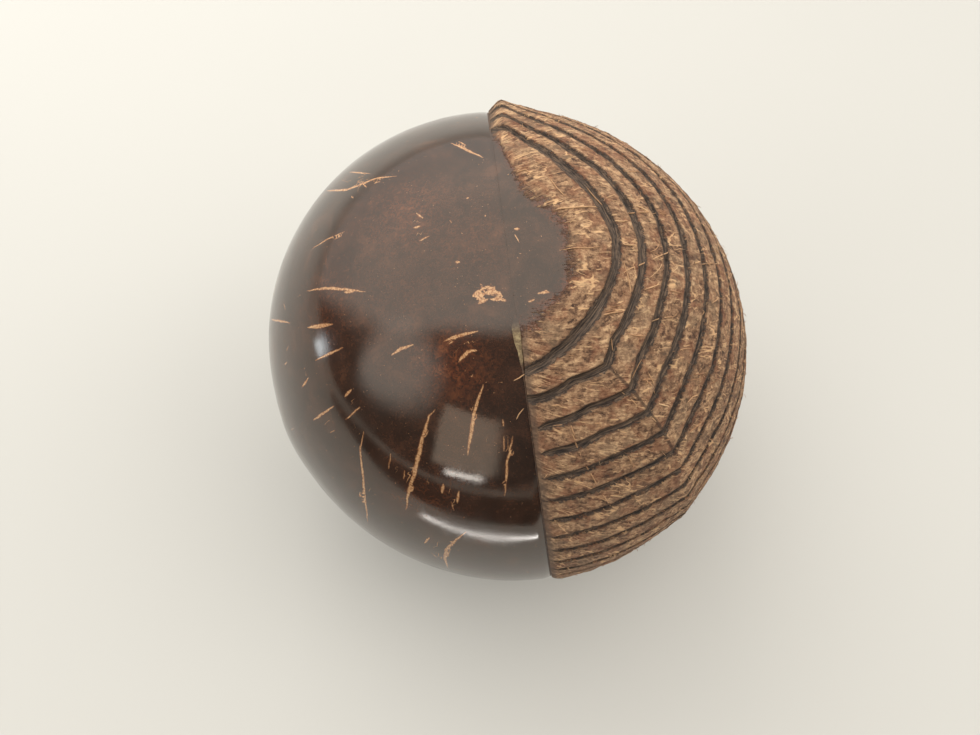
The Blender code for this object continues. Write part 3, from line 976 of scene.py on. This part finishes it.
class Graph:
    """A material's node graph, with short ways to add nodes."""

    def __init__(self, name):
        self.material = bpy.data.materials.new(name)
        self.material.use_nodes = True
        self.tree = self.material.node_tree
        self.tree.nodes.clear()
        self.shader = self.tree.nodes.new("ShaderNodeBsdfPrincipled")
        out = self.tree.nodes.new("ShaderNodeOutputMaterial")
        self.link(self.shader.outputs[0], out.inputs[0])

    def link(self, a, b):
        self.tree.links.new(a, b)

    def give(self, socket, value):
        if isinstance(value, bpy.types.NodeSocket):
            self.link(value, socket)
        else:
            socket.default_value = value

    def attr(self, name, vector=False):
        node = self.tree.nodes.new("ShaderNodeAttribute")
        node.attribute_name = name
        return node.outputs["Vector" if vector else "Fac"]

    def split(self, vector):
        node = self.tree.nodes.new("ShaderNodeSeparateXYZ")
        self.give(node.inputs[0], vector)
        return node.outputs

    def join(self, x, y, z):
        node = self.tree.nodes.new("ShaderNodeCombineXYZ")
        for socket, value in zip(node.inputs, (x, y, z)):
            self.give(socket, value)
        return node.outputs[0]

    def math(self, op, a, b=0.0, c=0.0, clamp=False):
        node = self.tree.nodes.new("ShaderNodeMath")
        node.operation = op
        node.use_clamp = clamp
        for socket, value in zip(node.inputs, (a, b, c)):
            self.give(socket, value)
        return node.outputs[0]

    def scale(self, vector, by):
        node = self.tree.nodes.new("ShaderNodeVectorMath")
        node.operation = "MULTIPLY"
        self.give(node.inputs[0], vector)
        node.inputs[1].default_value = by
        return node.outputs[0]

    def step(self, value, lo, hi):
        node = self.tree.nodes.new("ShaderNodeMapRange")
        node.interpolation_type = "SMOOTHSTEP"
        self.give(node.inputs["Value"], value)
        node.inputs["From Min"].default_value = lo
        node.inputs["From Max"].default_value = hi
        return node.outputs["Result"]

    def noise(self, vector, size, detail=3.0, rough=0.55, twist=0.0):
        node = self.tree.nodes.new("ShaderNodeTexNoise")
        self.give(node.inputs["Vector"], vector)
        node.inputs["Scale"].default_value = 1.0 / size
        node.inputs["Detail"].default_value = detail
        node.inputs["Roughness"].default_value = rough
        node.inputs["Distortion"].default_value = twist
        return node.outputs["Fac"]

    def flakes(self, vector, size, ragged):
        """One random value, 0 to 1, for each ragged flake."""
        stir = self.tree.nodes.new("ShaderNodeTexNoise")
        self.give(stir.inputs["Vector"], vector)
        stir.inputs["Scale"].default_value = 1.7 / size
        stir.inputs["Detail"].default_value = 3.0
        move = self.tree.nodes.new("ShaderNodeVectorMath")
        move.operation = "MULTIPLY_ADD"
        self.link(stir.outputs["Color"], move.inputs[0])
        move.inputs[1].default_value = (ragged, ragged, ragged)
        self.give(move.inputs[2], vector)
        node = self.tree.nodes.new("ShaderNodeTexVoronoi")
        self.link(move.outputs[0], node.inputs["Vector"])
        node.inputs["Scale"].default_value = 1.0 / size
        return self.split(node.outputs["Color"])[0]

    def ramp(self, value, stops):
        node = self.tree.nodes.new("ShaderNodeValToRGB")
        self.give(node.inputs[0], value)
        while len(node.color_ramp.elements) > 1:
            node.color_ramp.elements.remove(node.color_ramp.elements[-1])
        first = node.color_ramp.elements[0]
        first.position, first.color = stops[0]
        for place, colour in stops[1:]:
            node.color_ramp.elements.new(place).color = colour
        return node.outputs[0]

    def mix(self, share, a, b, blend="MIX"):
        node = self.tree.nodes.new("ShaderNodeMix")
        node.data_type = "RGBA"
        node.blend_type = blend
        self.give(node.inputs["Factor"], share)
        self.give(node.inputs[6], a)
        self.give(node.inputs[7], b)
        return node.outputs[2]

    def blend(self, share, a, b):
        node = self.tree.nodes.new("ShaderNodeMix")
        node.data_type = "FLOAT"
        self.give(node.inputs["Factor"], share)
        self.give(node.inputs[2], a)
        self.give(node.inputs[3], b)
        return node.outputs[0]

    def bump(self, height, distance, strength=1.0):
        node = self.tree.nodes.new("ShaderNodeBump")
        node.inputs["Distance"].default_value = distance
        node.inputs["Strength"].default_value = strength
        self.give(node.inputs["Height"], height)
        return node.outputs[0]

    def set(self, name, value):
        self.give(self.shader.inputs[name], value)


TAN = srgb(210, 166, 120)
TAN_DEEP = srgb(150, 100, 64)
AMBER = (1.0, 0.92, 0.83, 1.0)


def place_mm(g):
    return g.scale(g.tree.nodes.new("ShaderNodeTexCoord").outputs["Object"], (1000.0, 1000.0, 1000.0))


def lacquer_colour(g, spot, warm):
    """Dark sanded shell with faint brown mottling and specks under the lacquer."""
    broad = g.noise(spot, 6.5, 4.0, 0.6, 0.7)
    fine = g.noise(spot, 0.5, 4.0, 0.65, 0.4)
    base = g.ramp(broad, [(0.32, srgb(37, 24, 18)), (0.47, srgb(46, 30, 22)), (0.60, srgb(57, 37, 27)), (0.76, srgb(79, 51, 36))])
    red = g.ramp(g.noise(spot, 1.8, 4.0, 0.65, 0.8), [(0.34, srgb(56, 26, 16)), (0.50, srgb(92, 46, 27)), (0.68, srgb(136, 78, 46))])
    pull = g.math("MULTIPLY", warm, g.step(fine, 0.28, 0.62))
    colour = g.mix(g.math("MULTIPLY", pull, 0.85, clamp=True), base, red)
    colour = g.mix(g.math("MULTIPLY", g.step(fine, 0.50, 0.68), 0.17), colour, srgb(104, 62, 40))
    colour = g.mix(g.math("MULTIPLY", g.step(fine, 0.46, 0.32), 0.28), colour, srgb(24, 12, 9))
    dots = g.math("MULTIPLY", g.step(g.noise(spot, 0.42, 1.0), 0.72, 0.78), g.step(g.noise(spot, 3.1, 1.0), 0.44, 0.60))
    return g.mix(g.math("MULTIPLY", dots, 0.7), colour, srgb(178, 130, 92)), fine, broad


def mark_mask(g, spot):
    """How much a fibre mark covers, and its colour."""
    along, across, width = g.split(g.attr("mark", True))
    fray = g.noise(spot, 0.42, 5.0, 0.72)
    bend = g.math("MULTIPLY", g.math("SUBTRACT", g.noise(spot, 1.5, 3.0), 0.5), 0.55)
    wide = g.math("MULTIPLY", width, g.math("ADD", 0.0, g.math("MULTIPLY", fray, 1.8)))
    off = g.math("ABSOLUTE", g.math("ADD", across, bend))
    mask = g.step(g.math("SUBTRACT", wide, off), -0.06, 0.12)
    mask = g.math("MULTIPLY", mask, g.step(width, 0.0, 0.05))
    halo = g.math("MULTIPLY", g.step(g.math("SUBTRACT", g.math("ADD", width, 0.18), off), -0.10, 0.40), g.step(width, 0.0, 0.05))
    colour = g.mix(g.step(g.noise(spot, 0.33, 3.0), 0.36, 0.62), TAN_DEEP, TAN)
    return mask, colour, halo


def lacquer_material():
    g = Graph("lacquered_shell")
    spot = place_mm(g)
    colour, fine, broad = lacquer_colour(g, spot, g.attr("warm"))
    mask, mark, halo = mark_mask(g, spot)
    eye = g.math("ADD", g.attr("eye_mm"), g.math("MULTIPLY", fine, 1.6))
    colour = g.mix(g.math("MULTIPLY", halo, 0.45), colour, srgb(112, 62, 38))
    colour = g.mix(g.math("MULTIPLY", mask, 0.92), colour, mark)
    colour = g.mix(g.math("MULTIPLY", g.step(eye, 8.4, 6.4), 0.8), colour, srgb(25, 13, 9))
    third = g.step(g.math("ADD", g.attr("eye_3_mm"), g.math("MULTIPLY", broad, 2.0)), 6.0, 4.2)
    worn = g.mix(g.step(broad, 0.35, 0.65), srgb(92, 58, 38), srgb(132, 90, 60))
    worn = g.mix(g.math("MULTIPLY", third, 0.75), worn, srgb(40, 24, 16))
    rest = g.step(g.attr("rest"), 0.2, 0.8)
    colour = g.mix(rest, colour, worn)
    g.set("Base Color", colour)
    g.set("Roughness", g.blend(rest, g.blend(g.step(g.noise(spot, 9.0, 3.0), 0.35, 0.7), 0.08, 0.16), 0.55))
    g.set("IOR", 1.70)
    g.set("Specular Tint", AMBER)
    g.set("Normal", g.bump(g.math("ADD", g.math("MULTIPLY", fine, 0.4), g.math("MULTIPLY", g.noise(spot, 1.6, 2.0), 0.6)), 0.00002, 0.6))
    return g.material


def skin_material():
    g = Graph("fibrous_shell")
    spot = place_mm(g)
    way = g.attr("fibre_way", True)
    grain = g.noise(spot, 0.85, 5.0, 0.70)
    clump = g.noise(spot, 2.6, 3.0, 0.6, 0.8)
    slow = g.noise(spot, 9.0, 2.0)
    flake = g.flakes(g.scale(way, (1.0, 0.62, 1.0)), 0.85, 1.2)
    chaff = g.flakes(g.scale(way, (1.0, 0.80, 1.0)), 0.42, 0.6)
    tone = g.math("ADD", g.math("MULTIPLY", grain, 0.40), g.math("ADD", g.math("MULTIPLY", clump, 0.26), g.math("MULTIPLY", slow, 0.14)))
    tone = g.math("ADD", tone, g.math("ADD", g.math("MULTIPLY", flake, 0.13), g.math("MULTIPLY", chaff, 0.08)))
    skin = g.ramp(tone, [(0.36, srgb(62, 42, 31)), (0.43, srgb(99, 71, 51)), (0.49, srgb(135, 102, 75)),
                         (0.56, srgb(166, 131, 98)), (0.65, srgb(210, 173, 132))])
    red = g.step(g.noise(spot, 4.2, 3.0, 0.6, 0.5), 0.47, 0.62)
    skin = g.mix(g.math("MULTIPLY", red, 0.46), skin, g.mix(grain, srgb(82, 45, 29), srgb(156, 96, 65)))
    grey = g.step(g.noise(spot, 6.0, 2.0), 0.52, 0.66)
    skin = g.mix(g.math("MULTIPLY", grey, 0.35), skin, g.mix(grain, srgb(84, 66, 50), srgb(158, 134, 106)))
    # pale wisps of fibre, along the strands
    wisp = g.noise(g.scale(way, (1.0, 0.15, 1.0)), 0.62, 3.0, 0.6, 0.9)
    where = g.step(g.noise(g.scale(way, (1.0, 0.5, 1.0)), 4.5, 2.0), 0.49, 0.62)
    skin = g.mix(g.math("MULTIPLY", g.math("MULTIPLY", g.step(wisp, 0.55, 0.66), where), 0.65), skin, srgb(212, 174, 130))
    # long pale veins that wander over the skin
    for size, shift, thin, share in ((5.5, 0.0, 0.016, 0.80), (3.6, 40.0, 0.013, 0.60)):
        flow = g.noise(g.join(g.math("ADD", g.split(way)[0], shift), g.math("MULTIPLY", g.split(way)[1], 0.30), 0.0), size, 3.0, 0.5, 0.4)
        vein = g.step(g.math("ABSOLUTE", g.math("SUBTRACT", flow, 0.5)), thin, thin * 0.35)
        part = g.step(g.noise(spot, 4.0, 2.0), 0.50, 0.57)
        skin = g.mix(g.math("MULTIPLY", g.math("MULTIPLY", vein, part), share), skin, srgb(218, 176, 130))
    pits = g.math("MULTIPLY", g.step(g.noise(spot, 0.75, 3.0, 0.65), 0.60, 0.70), 0.50)
    skin = g.mix(pits, skin, srgb(56, 34, 24))
    crest = g.math("ADD", g.math("ABSOLUTE", g.attr("crest_mm")), g.math("MULTIPLY", grain, 0.5))
    skin = g.mix(g.math("MULTIPLY", g.step(crest, 0.80, 0.40), 0.75), skin, srgb(60, 42, 32))
    # a sanded grey-brown strip beside the seam, partly painted shade: made darker where the seam throws its shade
    strip = g.step(g.math("ADD", g.attr("seam_mm"), g.math("MULTIPLY", grain, 1.6)), 2.5, 1.2)
    skin = g.mix(g.math("MULTIPLY", strip, 0.70), skin, g.mix(grain, srgb(62, 46, 36), srgb(122, 100, 82)))
    # grooves: their own charcoal colour, with painted shade on the walls
    x, along, width = g.split(g.attr("groove", True))
    lines = g.noise(g.join(g.math("MULTIPLY", x, 4.2), g.math("MULTIPLY", along, 0.30), 0.0), 1.0, 4.0, 0.65, 0.3)
    burnt_and_shaded = g.ramp(lines, [(0.36, srgb(25, 19, 15)), (0.45, srgb(63, 51, 42)), (0.56, srgb(99, 81, 66)), (0.70, srgb(136, 109, 84))])
    ragged = g.math("ADD", g.math("MULTIPLY", g.math("SUBTRACT", grain, 0.5), 1.5), g.math("MULTIPLY", g.math("SUBTRACT", chaff, 0.5), 0.34))
    inside = g.math("SUBTRACT", g.math("ADD", width, ragged), g.math("ABSOLUTE", x))
    skin = g.mix(g.math("MULTIPLY", g.step(inside, -0.50, 0.05), 0.40), skin, srgb(70, 46, 34))
    # painted shade: the groove colour made darker towards the groove walls, where the grooves' own shadow falls
    burnt_and_shaded = g.mix(g.math("MULTIPLY", g.step(inside, 0.34, 0.10), 0.75), burnt_and_shaded, srgb(25, 17, 12))
    colour = g.mix(g.step(inside, -0.08, 0.12), skin, burnt_and_shaded)
    # natural eye and the worn rest
    eye = g.math("ADD", g.attr("eye_mm"), g.math("MULTIPLY", grain, 1.2))
    colour = g.mix(g.math("MULTIPLY", g.step(eye, 6.4, 4.2), 0.85), colour, srgb(48, 32, 23))
    rest = g.step(g.attr("rest"), 0.2, 0.8)
    colour = g.mix(rest, colour, g.mix(g.step(clump, 0.35, 0.65), srgb(86, 54, 36), srgb(126, 86, 58)))
    # lacquered patch beside the tip
    wisps = g.math("ADD", g.math("MULTIPLY", g.math("SUBTRACT", clump, 0.5), 6.0), g.math("MULTIPLY", g.math("SUBTRACT", grain, 0.5), 6.0))
    wisps = g.math("SUBTRACT", wisps, g.math("MULTIPLY", g.step(wisp, 0.54, 0.70), 1.6))
    wisps = g.math("ADD", wisps, g.math("MULTIPLY", g.math("SUBTRACT", flake, 0.5), 1.8))
    patch = g.step(g.math("ADD", g.attr("patch_mm"), wisps), -1.3, 1.1)
    dark_shell, _, _ = lacquer_colour(g, spot, g.step(g.attr("patch_mm"), 4.0, 0.0))
    mask, mark, halo = mark_mask(g, spot)
    dark_shell = g.mix(g.math("MULTIPLY", halo, 0.45), dark_shell, srgb(112, 62, 38))
    dark_shell = g.mix(g.math("MULTIPLY", mask, 0.92), dark_shell, mark)
    colour = g.mix(patch, colour, dark_shell)
    g.set("Base Color", colour)
    gloss = g.blend(g.step(g.noise(spot, 9.0, 3.0), 0.35, 0.7), 0.08, 0.16)
    g.set("Specular IOR Level", g.blend(patch, 0.32, 0.5))
    g.set("Roughness", g.blend(patch, g.blend(g.step(inside, -0.1, 0.1), 0.85, 0.70), gloss))
    g.set("IOR", 1.70)
    g.set("Specular Tint", g.mix(patch, (1.0, 1.0, 1.0, 1.0), AMBER))
    height = g.math("MULTIPLY", g.math("ADD", grain, g.math("MULTIPLY", g.math("ADD", clump, wisp), 0.4)), g.math("SUBTRACT", 1.0, patch))
    g.set("Normal", g.bump(height, 0.00045, 0.9))
    return g.material


def raw_material():
    g = Graph("raw_shell")
    way = place_mm(g)
    mottled = g.noise(way, 1.3, 4.0)
    g.set("Base Color", g.ramp(mottled, [(0.35, srgb(92, 58, 38)), (0.52, srgb(140, 98, 66)), (0.68, srgb(176, 134, 94))]))
    g.set("Roughness", g.blend(mottled, 0.6, 0.85))
    g.set("Normal", g.bump(mottled, 0.0002, 0.6))
    return g.material


def filler_material():
    g = Graph("seam_filler")
    way = place_mm(g)
    grit = g.noise(way, 0.6, 4.0, 0.65)
    pale = g.ramp(grit, [(0.34, srgb(84, 66, 46)), (0.50, srgb(126, 106, 75)), (0.66, srgb(164, 146, 108))])
    dull = g.ramp(grit, [(0.34, srgb(40, 25, 17)), (0.52, srgb(70, 46, 31)), (0.70, srgb(112, 82, 56))])
    colour = g.mix(g.step(g.attr("khaki"), 0.2, 0.6), dull, pale)
    dark, fine, _ = lacquer_colour(g, way, 0.0)
    lacquered = g.attr("lacquered")
    g.set("Base Color", g.mix(lacquered, colour, dark))
    g.set("Roughness", g.blend(lacquered, g.blend(grit, 0.45, 0.75), 0.12))
    g.set("IOR", 1.70)
    g.set("Specular Tint", AMBER)
    g.set("Normal", g.bump(g.math("MULTIPLY", grit, g.math("SUBTRACT", 1.0, lacquered)), 0.0001, 0.6))
    return g.material


def strand_material():
    g = Graph("fibre_strand")
    way = place_mm(g)
    tone = g.math("ADD", g.math("MULTIPLY", g.attr("tint"), 0.7), g.math("MULTIPLY", g.noise(way, 0.8, 2.0), 0.5))
    g.set("Base Color", g.ramp(tone, [(0.15, srgb(120, 82, 56)), (0.45, srgb(164, 122, 86)), (0.75, srgb(200, 160, 118)), (1.05, srgb(222, 188, 146))]))
    g.set("Roughness", g.blend(g.noise(way, 0.5, 2.0), 0.5, 0.75))
    return g.material


def plug_material():
    g = Graph("plug_wood")
    way = g.attr("plug_way", True)
    rings = g.noise(g.scale(way, (1.0, 0.28, 0.15)), 0.55, 4.0, 0.6, 0.6)
    pores = g.step(g.noise(g.scale(way, (1.0, 0.6, 0.1)), 0.28, 2.0), 0.60, 0.70)
    colour = g.ramp(rings, [(0.32, srgb(86, 52, 31)), (0.50, srgb(124, 80, 48)), (0.68, srgb(158, 110, 70))])
    colour = g.mix(g.math("MULTIPLY", pores, 0.7), colour, srgb(48, 28, 18))
    x, y, z = g.split(way)
    rim = g.step(g.math("SQRT", g.math("ADD", g.math("MULTIPLY", x, x), g.math("MULTIPLY", y, y))), 4.1, 4.9)
    g.set("Base Color", g.mix(g.math("MULTIPLY", rim, 0.6), colour, srgb(44, 27, 18)))
    g.set("Roughness", g.blend(rings, 0.42, 0.68))
    g.set("Normal", g.bump(rings, 0.0002, 0.7))
    return g.material


def seed_material():
    g = Graph("dried_seed")
    way = g.attr("seed_way", True)
    spots = g.noise(way, 1.1, 4.0, 0.6, 0.8)
    veins = g.noise(g.scale(way, (1.0, 1.0, 0.3)), 0.5, 3.0)
    colour = g.ramp(spots, [(0.34, srgb(46, 30, 24)), (0.48, srgb(92, 60, 42)), (0.60, srgb(138, 98, 68)), (0.74, srgb(176, 138, 100))])
    colour = g.mix(g.math("MULTIPLY", g.step(veins, 0.50, 0.66), 0.5), colour, srgb(58, 38, 30))
    scar = g.step(g.attr("scar"), 0.34, 0.22)
    g.set("Base Color", g.mix(scar, colour, srgb(196, 178, 148)))
    g.set("Roughness", g.blend(spots, 0.28, 0.50))
    g.set("Normal", g.bump(veins, 0.00012, 0.5))
    return g.material


# ---------------------------------------------------------------- the pieces
LACQUER, SKIN, RAW = lacquer_material(), skin_material(), raw_material()

polished_mesh = polished_half()
polished = make_object("polished_half", polished_mesh)
polished_mesh.materials.append(LACQUER)
polished_mesh.materials.append(RAW)

# bore for the plug
drill_verts, drill_faces = turned([(0.0, 6.0), (EYE_R, 6.0), (EYE_R, -9.0), (0.0, -9.0)], 96)
drill_world = drill_verts @ np.array(Vector(EYE).to_track_quat("Z", "Y").to_matrix()).T + C + EYE * body_radius(EYE)
drill_mesh = make_mesh("drill", drill_world, drill_faces)
drill_mesh.materials.append(LACQUER)
drill_mesh.materials.append(RAW)
drill_mesh.polygons.foreach_set("material_index", [1] * len(drill_faces))
drill = make_object("drill", drill_mesh)
bore = polished.modifiers.new("bore", "BOOLEAN")
bore.operation = "DIFFERENCE"
bore.solver = "EXACT"
bore.object = drill
bpy.context.view_layer.update()
bored = bpy.data.meshes.new_from_object(polished.evaluated_get(bpy.context.evaluated_depsgraph_get()))
bored.name = "polished_half_bored"
polished.modifiers.remove(bore)
polished.data = bored
bpy.data.objects.remove(drill, do_unlink=True)
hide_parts("polished_half_shell")
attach(polished, "shell")

carved_mesh = carved_half()
carved = make_object("carved_half", carved_mesh)
carved_mesh.materials.append(SKIN)
carved_mesh.materials.append(RAW)
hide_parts("carved_half_shell")
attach(carved, "shell")

filler_mesh = seam_filler()
filler = make_object("seam_filler_line", filler_mesh)
filler_mesh.materials.append(filler_material())
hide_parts("seam_filler")
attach(filler, "shell")

strand_mesh = fibres(carved_mesh)
strands = make_object("fibre_strands", strand_mesh)
strand_mesh.materials.append(strand_material())
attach(strands, "shell")

plug_mesh = plug()
peg = make_object("eye_plug_turned", plug_mesh)
plug_mesh.materials.append(plug_material())
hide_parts("eye_plug")
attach(peg, "shell")

SEED = seed_material()
for number in range(1, 20):
    seed(number).data.materials.append(SEED)


# ---------------------------------------------------------------- floor, light and camera
def floor():
    size, count = 20.0, 40
    bm = bmesh.new()
    bmesh.ops.create_grid(bm, x_segments=count, y_segments=count, size=size)
    mesh = bpy.data.meshes.new("floor")
    bm.to_mesh(mesh)
    bm.free()
    ob = make_object("floor", mesh)
    ob.location = (0.0, 0.0, -0.0001)
    g = Graph("pale_floor")
    way = g.tree.nodes.new("ShaderNodeTexCoord").outputs["Object"]
    g.set("Base Color", g.mix(g.noise(way, 0.35, 2.0), srgb(194, 193, 188), srgb(200, 199, 194)))
    g.set("Roughness", 0.9)
    g.set("Specular IOR Level", 0.2)
    mesh.materials.append(g.material)


def panel(name, azimuth, elevation, distance, width, height, radiance, colour, seen="all"):
    """A soft light panel that faces the nut: azimuth from +Y towards +X, degrees; sizes in metres.
    seen "gloss" is a reflector card, "soft" a lamp without a reflection."""
    a, e = math.radians(azimuth), math.radians(elevation)
    toward = Vector((math.sin(a) * math.cos(e), math.cos(a) * math.cos(e), math.sin(e)))
    ob = lamp(name, width, height, radiance, colour, seen)
    ob.location = Vector(C * 0.001) + toward * distance
    ob.rotation_mode = "QUATERNION"
    ob.rotation_quaternion = toward.to_track_quat("Z", "Y")
    return ob


def lamp(name, width, height, radiance, colour, seen):
    data = bpy.data.lights.new(name, "AREA")
    data.shape = "RECTANGLE"
    data.size, data.size_y = width, height
    data.energy = radiance * math.pi * width * height
    data.color = colour
    ob = bpy.data.objects.new(name, data)
    bpy.context.scene.collection.objects.link(ob)
    ob.visible_camera = False
    ob.visible_diffuse = seen != "gloss"
    ob.visible_glossy = seen != "soft"
    return ob


def studio():
    world = bpy.data.worlds.new("studio")
    bpy.context.scene.world = world
    world.use_nodes = True
    tree = world.node_tree
    tree.nodes.clear()
    out = tree.nodes.new("ShaderNodeOutputWorld")
    light, back = tree.nodes.new("ShaderNodeBackground"), tree.nodes.new("ShaderNodeBackground")
    pick = tree.nodes.new("ShaderNodeMixShader")
    path = tree.nodes.new("ShaderNodeLightPath")
    coord = tree.nodes.new("ShaderNodeTexCoord")
    lean = tree.nodes.new("ShaderNodeVectorMath")
    lean.operation = "DOT_PRODUCT"
    lean.inputs[1].default_value = (0.0, 1.0, 0.55)
    tree.links.new(coord.outputs["Generated"], lean.inputs[0])
    sweep = tree.nodes.new("ShaderNodeMapRange")
    sweep.interpolation_type = "SMOOTHSTEP"
    sweep.inputs["From Min"].default_value = 0.16
    sweep.inputs["From Max"].default_value = 0.36
    sweep.inputs["To Min"].default_value = 0.18
    sweep.inputs["To Max"].default_value = 1.72
    tree.links.new(lean.outputs["Value"], sweep.inputs["Value"])
    split = tree.nodes.new("ShaderNodeSeparateXYZ")
    tree.links.new(coord.outputs["Generated"], split.inputs[0])
    low = tree.nodes.new("ShaderNodeMapRange")
    low.interpolation_type = "SMOOTHSTEP"
    low.inputs["From Min"].default_value = -0.05
    low.inputs["From Max"].default_value = 0.62
    low.inputs["To Min"].default_value = 0.58
    low.inputs["To Max"].default_value = 1.03
    tree.links.new(split.outputs["Z"], low.inputs["Value"])
    dim = tree.nodes.new("ShaderNodeMath")
    dim.operation = "MULTIPLY"
    tree.links.new(sweep.outputs["Result"], dim.inputs[0])
    tree.links.new(low.outputs["Result"], dim.inputs[1])
    # a second, softer glow from the front left
    glow = tree.nodes.new("ShaderNodeVectorMath")
    glow.operation = "DOT_PRODUCT"
    a, e = math.radians(-117.0), math.radians(33.0)
    glow.inputs[1].default_value = (math.sin(a) * math.cos(e), math.cos(a) * math.cos(e), math.sin(e))
    tree.links.new(coord.outputs["Generated"], glow.inputs[0])
    spread = tree.nodes.new("ShaderNodeMapRange")
    spread.interpolation_type = "SMOOTHSTEP"
    spread.inputs["From Min"].default_value = math.cos(math.radians(25.0))
    spread.inputs["From Max"].default_value = math.cos(math.radians(11.0))
    spread.inputs["To Max"].default_value = 1.45
    tree.links.new(glow.outputs["Value"], spread.inputs["Value"])
    total = tree.nodes.new("ShaderNodeMath")
    total.operation = "ADD"
    tree.links.new(dim.outputs[0], total.inputs[0])
    tree.links.new(spread.outputs["Result"], total.inputs[1])
    light.inputs["Color"].default_value = (1.0, 0.965, 0.91, 1.0)
    tree.links.new(total.outputs[0], light.inputs["Strength"])
    back.inputs["Color"].default_value = srgb(222, 220, 212)
    back.inputs["Strength"].default_value = 1.0
    tree.links.new(path.outputs["Is Camera Ray"], pick.inputs[0])
    tree.links.new(light.outputs[0], pick.inputs[1])
    tree.links.new(back.outputs[0], pick.inputs[2])
    tree.links.new(pick.outputs[0], out.inputs[0])
    panel("front_window", -163.0, 6.0, 1.2, 0.30, 0.044, 11.0, (1.0, 0.99, 0.97))
    panel("left_window", -89.0, 0.0, 1.2, 0.08, 0.16, 5.8, (0.78, 0.90, 1.0))
    panel("front_card", -162.0, 22.0, 1.2, 0.52, 0.58, 1.45, (1.0, 0.85, 0.71), "gloss")
    strip = lamp("low_card", 0.16, 0.009, 15.0, (1.0, 1.0, 1.0), "gloss")
    strip.location = (-0.022, -0.196, 0.001)
    strip.rotation_euler = (math.pi, 0.0, 0.0)
    wash = lamp("back_wash", 0.7, 0.6, 2.0, (1.0, 0.985, 0.95), "soft")
    wash.location = (-0.36, 0.46, 0.50)
    panel("fill", 100.0, 40.0, 1.3, 0.9, 0.9, 1.8, (1.0, 0.98, 0.94), "soft")
    # a dark card, out of the picture, that the lacquer mirrors
    bm = bmesh.new()
    bmesh.ops.create_grid(bm, x_segments=6, y_segments=6, size=0.5)
    mesh = bpy.data.meshes.new("dark_card")
    bm.to_mesh(mesh)
    bm.free()
    card = make_object("dark_card", mesh)
    card.location = (-0.15, -0.88, 0.001)
    card.scale = (2.2, 1.2, 1.0)
    card.visible_camera = card.visible_diffuse = card.visible_shadow = card.visible_transmission = False
    g = Graph("dark_card")
    g.set("Base Color", g.mix(g.noise(place_mm(g), 40.0, 2.0), srgb(46, 40, 36), srgb(58, 52, 46)))
    g.set("Roughness", 0.9)
    mesh.materials.append(g.material)


def camera():
    data = bpy.data.cameras.new("camera")
    data.sensor_fit = "HORIZONTAL"
    data.sensor_width = 36.0
    data.lens = FOCAL * 36.0 / 980.0
    data.clip_start = 0.005
    ob = bpy.data.objects.new("camera", data)
    bpy.context.scene.collection.objects.link(ob)
    ob.location = CAM * 0.001
    ob.rotation_euler = (math.pi / 2 - PITCH, 0.0, 0.0)
    bpy.context.scene.camera = ob


floor()
studio()
camera()
bpy.context.scene.view_settings.view_transform = "Standard"
